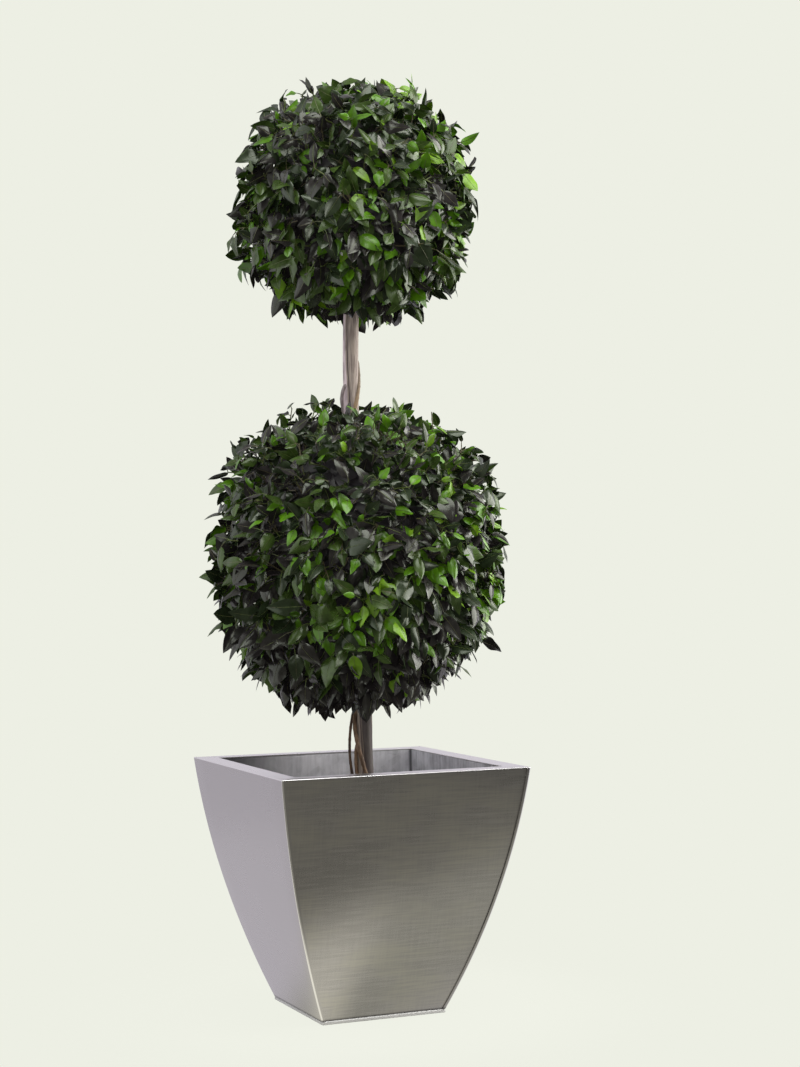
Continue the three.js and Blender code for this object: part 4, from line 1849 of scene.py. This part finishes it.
@dataclass(frozen=True)
class Softbox:
    """A square soft light that faces the plant, with its power in watts."""

    name: str
    place: Triple
    size: float
    power: float
    tone: Colour
    shadow: bool = True

    def build(self, aim: Triple) -> None:
        """Hangs the light and turns it to what it faces.

        Args:
            aim: The place that it faces.
        """
        lamp = bpy.data.lights.new(self.name, "AREA")
        lamp.shape, lamp.size, lamp.energy, lamp.color = "SQUARE", self.size, self.power, self.tone
        lamp.use_shadow = self.shadow
        turn = (Vector(aim) - Vector(self.place)).to_track_quat("-Z", "Y").to_matrix().to_4x4()
        holder = bpy.data.objects.new(self.name, lamp)
        holder.matrix_world = Matrix.Translation(self.place) @ turn
        bpy.context.scene.collection.objects.link(holder)


@dataclass(frozen=True)
class Studio:
    """Pale floor, pale surroundings and soft light.

    Lights are the colours that the surroundings and the floor cast; spans say where they change over.
    """

    pale: Colour = (0.84687, 0.86316, 0.77582)
    aim: Triple = (0.0, 0.0, 0.75)
    behind: Triple = (0.408, 0.913, 0.0)
    behind_light: Colour = (0.66, 0.63, 0.69)
    behind_span: Span = (-0.3, 0.3)
    front_light: Colour = (0.168, 0.162, 0.135)
    right_light: Colour = (0.05, 0.05, 0.048)
    right_span: Span = (0.33, 0.5)
    top_light: Colour = (0.45, 0.45, 0.45)
    top_span: Span = (0.25, 0.95)
    low_light: Colour = (0.06, 0.06, 0.06)
    low_span: Span = (-0.7, -0.35)
    floor_radius: float = 1.2
    floor_hole: float = 0.02
    floor_sunk: float = 0.2 * MM
    floor_rings: int = 24
    floor_sides: int = 96
    floor_paint: Colour = (0.02, 0.02, 0.019)
    floor_glow: float = 0.985
    seen_fade: Span = (0.2, 0.44)
    cast_share: float = 0.8
    left_floor: Colour = (0.85, 0.83, 0.72)
    near_floor: Colour = (0.45, 0.445, 0.38)
    near_way: Triple = (1.0, 0.65, 0.0)
    near_span: Span = (-0.16, -0.09)
    front_way: Triple = (-0.49, -0.87, 0.0)
    front_span: Span = (0.18, 0.33)
    far_floor: Colour = (0.72, 0.69, 0.75)
    far_span: Span = (-0.12, 0.08)
    softboxes: tuple[Softbox, ...] = (
        Softbox("right_softbox", (2.0, -0.6, 1.3), size=2.0, power=74.0, tone=(1.0, 0.98, 0.95)),
        Softbox("left_softbox", (-1.9, 0.1, 1.2), size=2.2, power=20.0, tone=(0.96, 0.97, 1.0)),
        Softbox("upper_softbox", (0.2, -1.3, 2.8), size=1.9, power=58.0, tone=(1.0, 1.0, 1.0)),
        Softbox("front_fill", (-1.1, -2.75, 1.2), size=0.9, power=16.0, tone=(1.0, 0.97, 1.0), shadow=False),
    )

    def build_world(self) -> None:
        """Pale to the eye; as light, bright behind the plant and overhead and dim on the camera's side."""
        board = Board(bpy.data.worlds.new("studio"))
        bpy.context.scene.world = board.owner
        way = board.make("ShaderNodeTexCoord", output="Generated")
        upright = board.axis("Z", way)
        front = board.fade(board.axis("X", way), self.right_span, self.front_light, self.right_light)
        around = board.fade(board.toward(way, self.behind), self.behind_span, front, self.behind_light)
        above = board.fade(upright, self.top_span, around, self.top_light)
        light = board.fade(upright, self.low_span, self.low_light, above)
        seen = board.make("ShaderNodeLightPath", output="Is Camera Ray")
        glow = board.make("ShaderNodeBackground", None, {"Color": board.blend(seen, light, self.pale)})
        board.make("ShaderNodeOutputWorld", None, {"Surface": glow})

    def floor_material(self) -> bpy.types.Material:
        """Pale to the eye, fading out; as light, brightest behind, and dim beyond a slanting edge in front.

        Returns:
            The material.
        """
        board = new_board("pale_floor")
        place = board.place((1.0, 1.0, 0.0))
        distance = board.make("ShaderNodeVectorMath", {"operation": "LENGTH"}, {0: place}, "Value")
        left = board.toward(place, self.near_way)
        near = board.fade(left, self.near_span, self.left_floor, self.near_floor)
        front = board.fade(board.toward(place, self.front_way), self.front_span, near, self.front_light)
        cast = board.fade(board.toward(place, self.behind), self.far_span, front, self.far_floor)
        seen = board.make("ShaderNodeLightPath", output="Is Camera Ray")
        paint = board.make("ShaderNodeBsdfPrincipled", None, {
            "Base Color": self.floor_paint,
            "Roughness": 0.9,
            "Specular IOR Level": 0.0,
            "Emission Color": board.blend(seen, cast, self.pale),
            "Emission Strength": self.floor_glow,
        })
        clear = board.make("ShaderNodeBsdfTransparent")
        cast_fade = (self.cast_share * self.floor_radius, self.floor_radius)
        seen_part = seen * board.ramp(distance, self.seen_fade)
        fade = seen_part + (1.0 - seen) * board.ramp(distance, cast_fade)
        both = board.make("ShaderNodeMixShader", None, {0: fade, 1: paint, 2: clear})
        board.make("ShaderNodeOutputMaterial", None, {"Surface": both})
        return board.owner

    def build_floor(self) -> None:
        """A pale disc of rings, radius * (cos, sin), that glows a little."""
        radius = np.linspace(self.floor_hole, self.floor_radius, self.floor_rings)[:, None, None]
        points = radius * level_way(round_angles(self.floor_sides)) - self.floor_sunk * UP
        rings = grid_faces(self.floor_rings, self.floor_sides, wrap=True)[:, ::-1]
        shell = Shell(points.reshape(-1, 3), [rings, np.arange(self.floor_sides)[None]])
        floor = add_piece("floor", shell, self.floor_material(), Crease.ROUGH)
        floor.visible_diffuse = False

    def build(self) -> None:
        """Sets up the surroundings, the floor and the lights."""
        self.build_world()
        self.build_floor()
        for softbox in self.softboxes:
            softbox.build(self.aim)
        bpy.context.scene.view_settings.view_transform = "Standard"


# The whole plant


def vines_on(trunk: Trunk) -> list[Vine]:
    """The five ivy stems on the bare stretches of the trunk.

    Args:
        trunk: The trunk that they climb.

    Returns:
        The vines.
    """
    brown = Bark("vine_bark_brown", furrow=(0.035, 0.022, 0.015), low=(0.11, 0.06, 0.03),
                 high=(0.13, 0.075, 0.04), change=(0.3, 0.4))
    tan = Bark("vine_bark_tan", furrow=(0.08, 0.045, 0.022), low=(0.2, 0.12, 0.065),
               high=(0.38, 0.27, 0.16), change=(0.3, 0.8))
    gold = Bark("vine_bark_gold", furrow=(0.15, 0.11, 0.07), low=(0.36, 0.24, 0.13),
                high=(0.2, 0.17, 0.13), change=(0.8, 0.87), contrast=0.5)
    grey = Bark("vine_bark_grey", furrow=(0.15, 0.12, 0.12), low=(0.38, 0.32, 0.325),
                high=(0.38, 0.32, 0.325), change=(0.3, 0.8), contrast=0.5)
    core_middle, core_half, vine_gap = 0.605, 0.84 * 0.217, 0.007
    under, over = core_middle - core_half - vine_gap, core_middle + core_half + vine_gap
    return [
        Vine("vine_low_left", brown, radius=2.2 * MM, bottom=trunk.ground, top=under,
             turns=(193.0, 207.0), bow=9.0 * MM),
        Vine("vine_low_crossing", tan, radius=3.0 * MM, bottom=trunk.ground, top=402 * MM,
             turns=(55.0, 184.0), bow=1.6 * MM),
        Vine("vine_low_short", tan, radius=2.5 * MM, bottom=trunk.ground, top=357 * MM,
             turns=(138.0, 162.0), bow=0.4 * MM),
        Vine("vine_high_right", gold, radius=3.1 * MM, bottom=over, top=884 * MM,
             turns=(84.0, -34.0), bow=0.1 * MM, sunk=1.05),
        Vine("vine_high_left", grey, radius=2.8 * MM, bottom=over, top=844 * MM,
             turns=(226.0, 140.0), bow=0.1 * MM, sunk=0.5),
    ]


def balls_on(trunk: Trunk) -> list[LeafBall]:
    """The two clipped balls.

    Args:
        trunk: The trunk that carries them.

    Returns:
        The lower ball and the upper one.
    """
    lower = LeafBall(
        "lower_ball", trunk, seed=6, lean=4 * MM, height=612 * MM, half_width=214 * MM,
        half_height=218 * MM, squareness=(2.8, 2.25), fullness=1.065, slant=0.07, twigs=330,
        leaf_sizes=(19.5 * MM, 36 * MM), leaf_growth=0.26, shade_line=(-0.92, -0.45), dusk_line=0.35,
    )
    upper = LeafBall(
        "upper_ball", trunk, seed=2, lean=2 * MM, height=1096 * MM, half_width=177 * MM,
        half_height=169 * MM, squareness=(2.3, 2.9), fullness=1.02, slant=0.0, twigs=190,
        leaf_sizes=(21 * MM, 38 * MM), leaf_growth=0.15, shade_line=(-1.0, -0.85), dusk_line=-0.2,
    )
    return [lower, upper]


def main() -> None:
    """Builds the planter, the plant and the studio, and reports each piece."""
    logging.basicConfig(level=logging.INFO, format="%(message)s")
    Planter().build()
    trunk = Trunk(Lean())
    trunk.build()
    for vine in vines_on(trunk):
        vine.build(trunk)
    greens = {
        tint: LeafGreen(f"leaf_{tint.name.lower()}", tint.colour, tint.roughness).material() for tint in Tint
    }
    rib = Stalk("leaf_stalk").material()
    wood = Bark("twig_bark", furrow=(0.05, 0.038, 0.045), low=(0.1, 0.08, 0.08),
                high=(0.1, 0.08, 0.08), change=(0.3, 0.9)).material()
    for ball in balls_on(trunk):
        ball.build(greens, rib, wood)
    PhotoCamera().build()
    Studio().build()


if __name__ == "__main__":
    main()
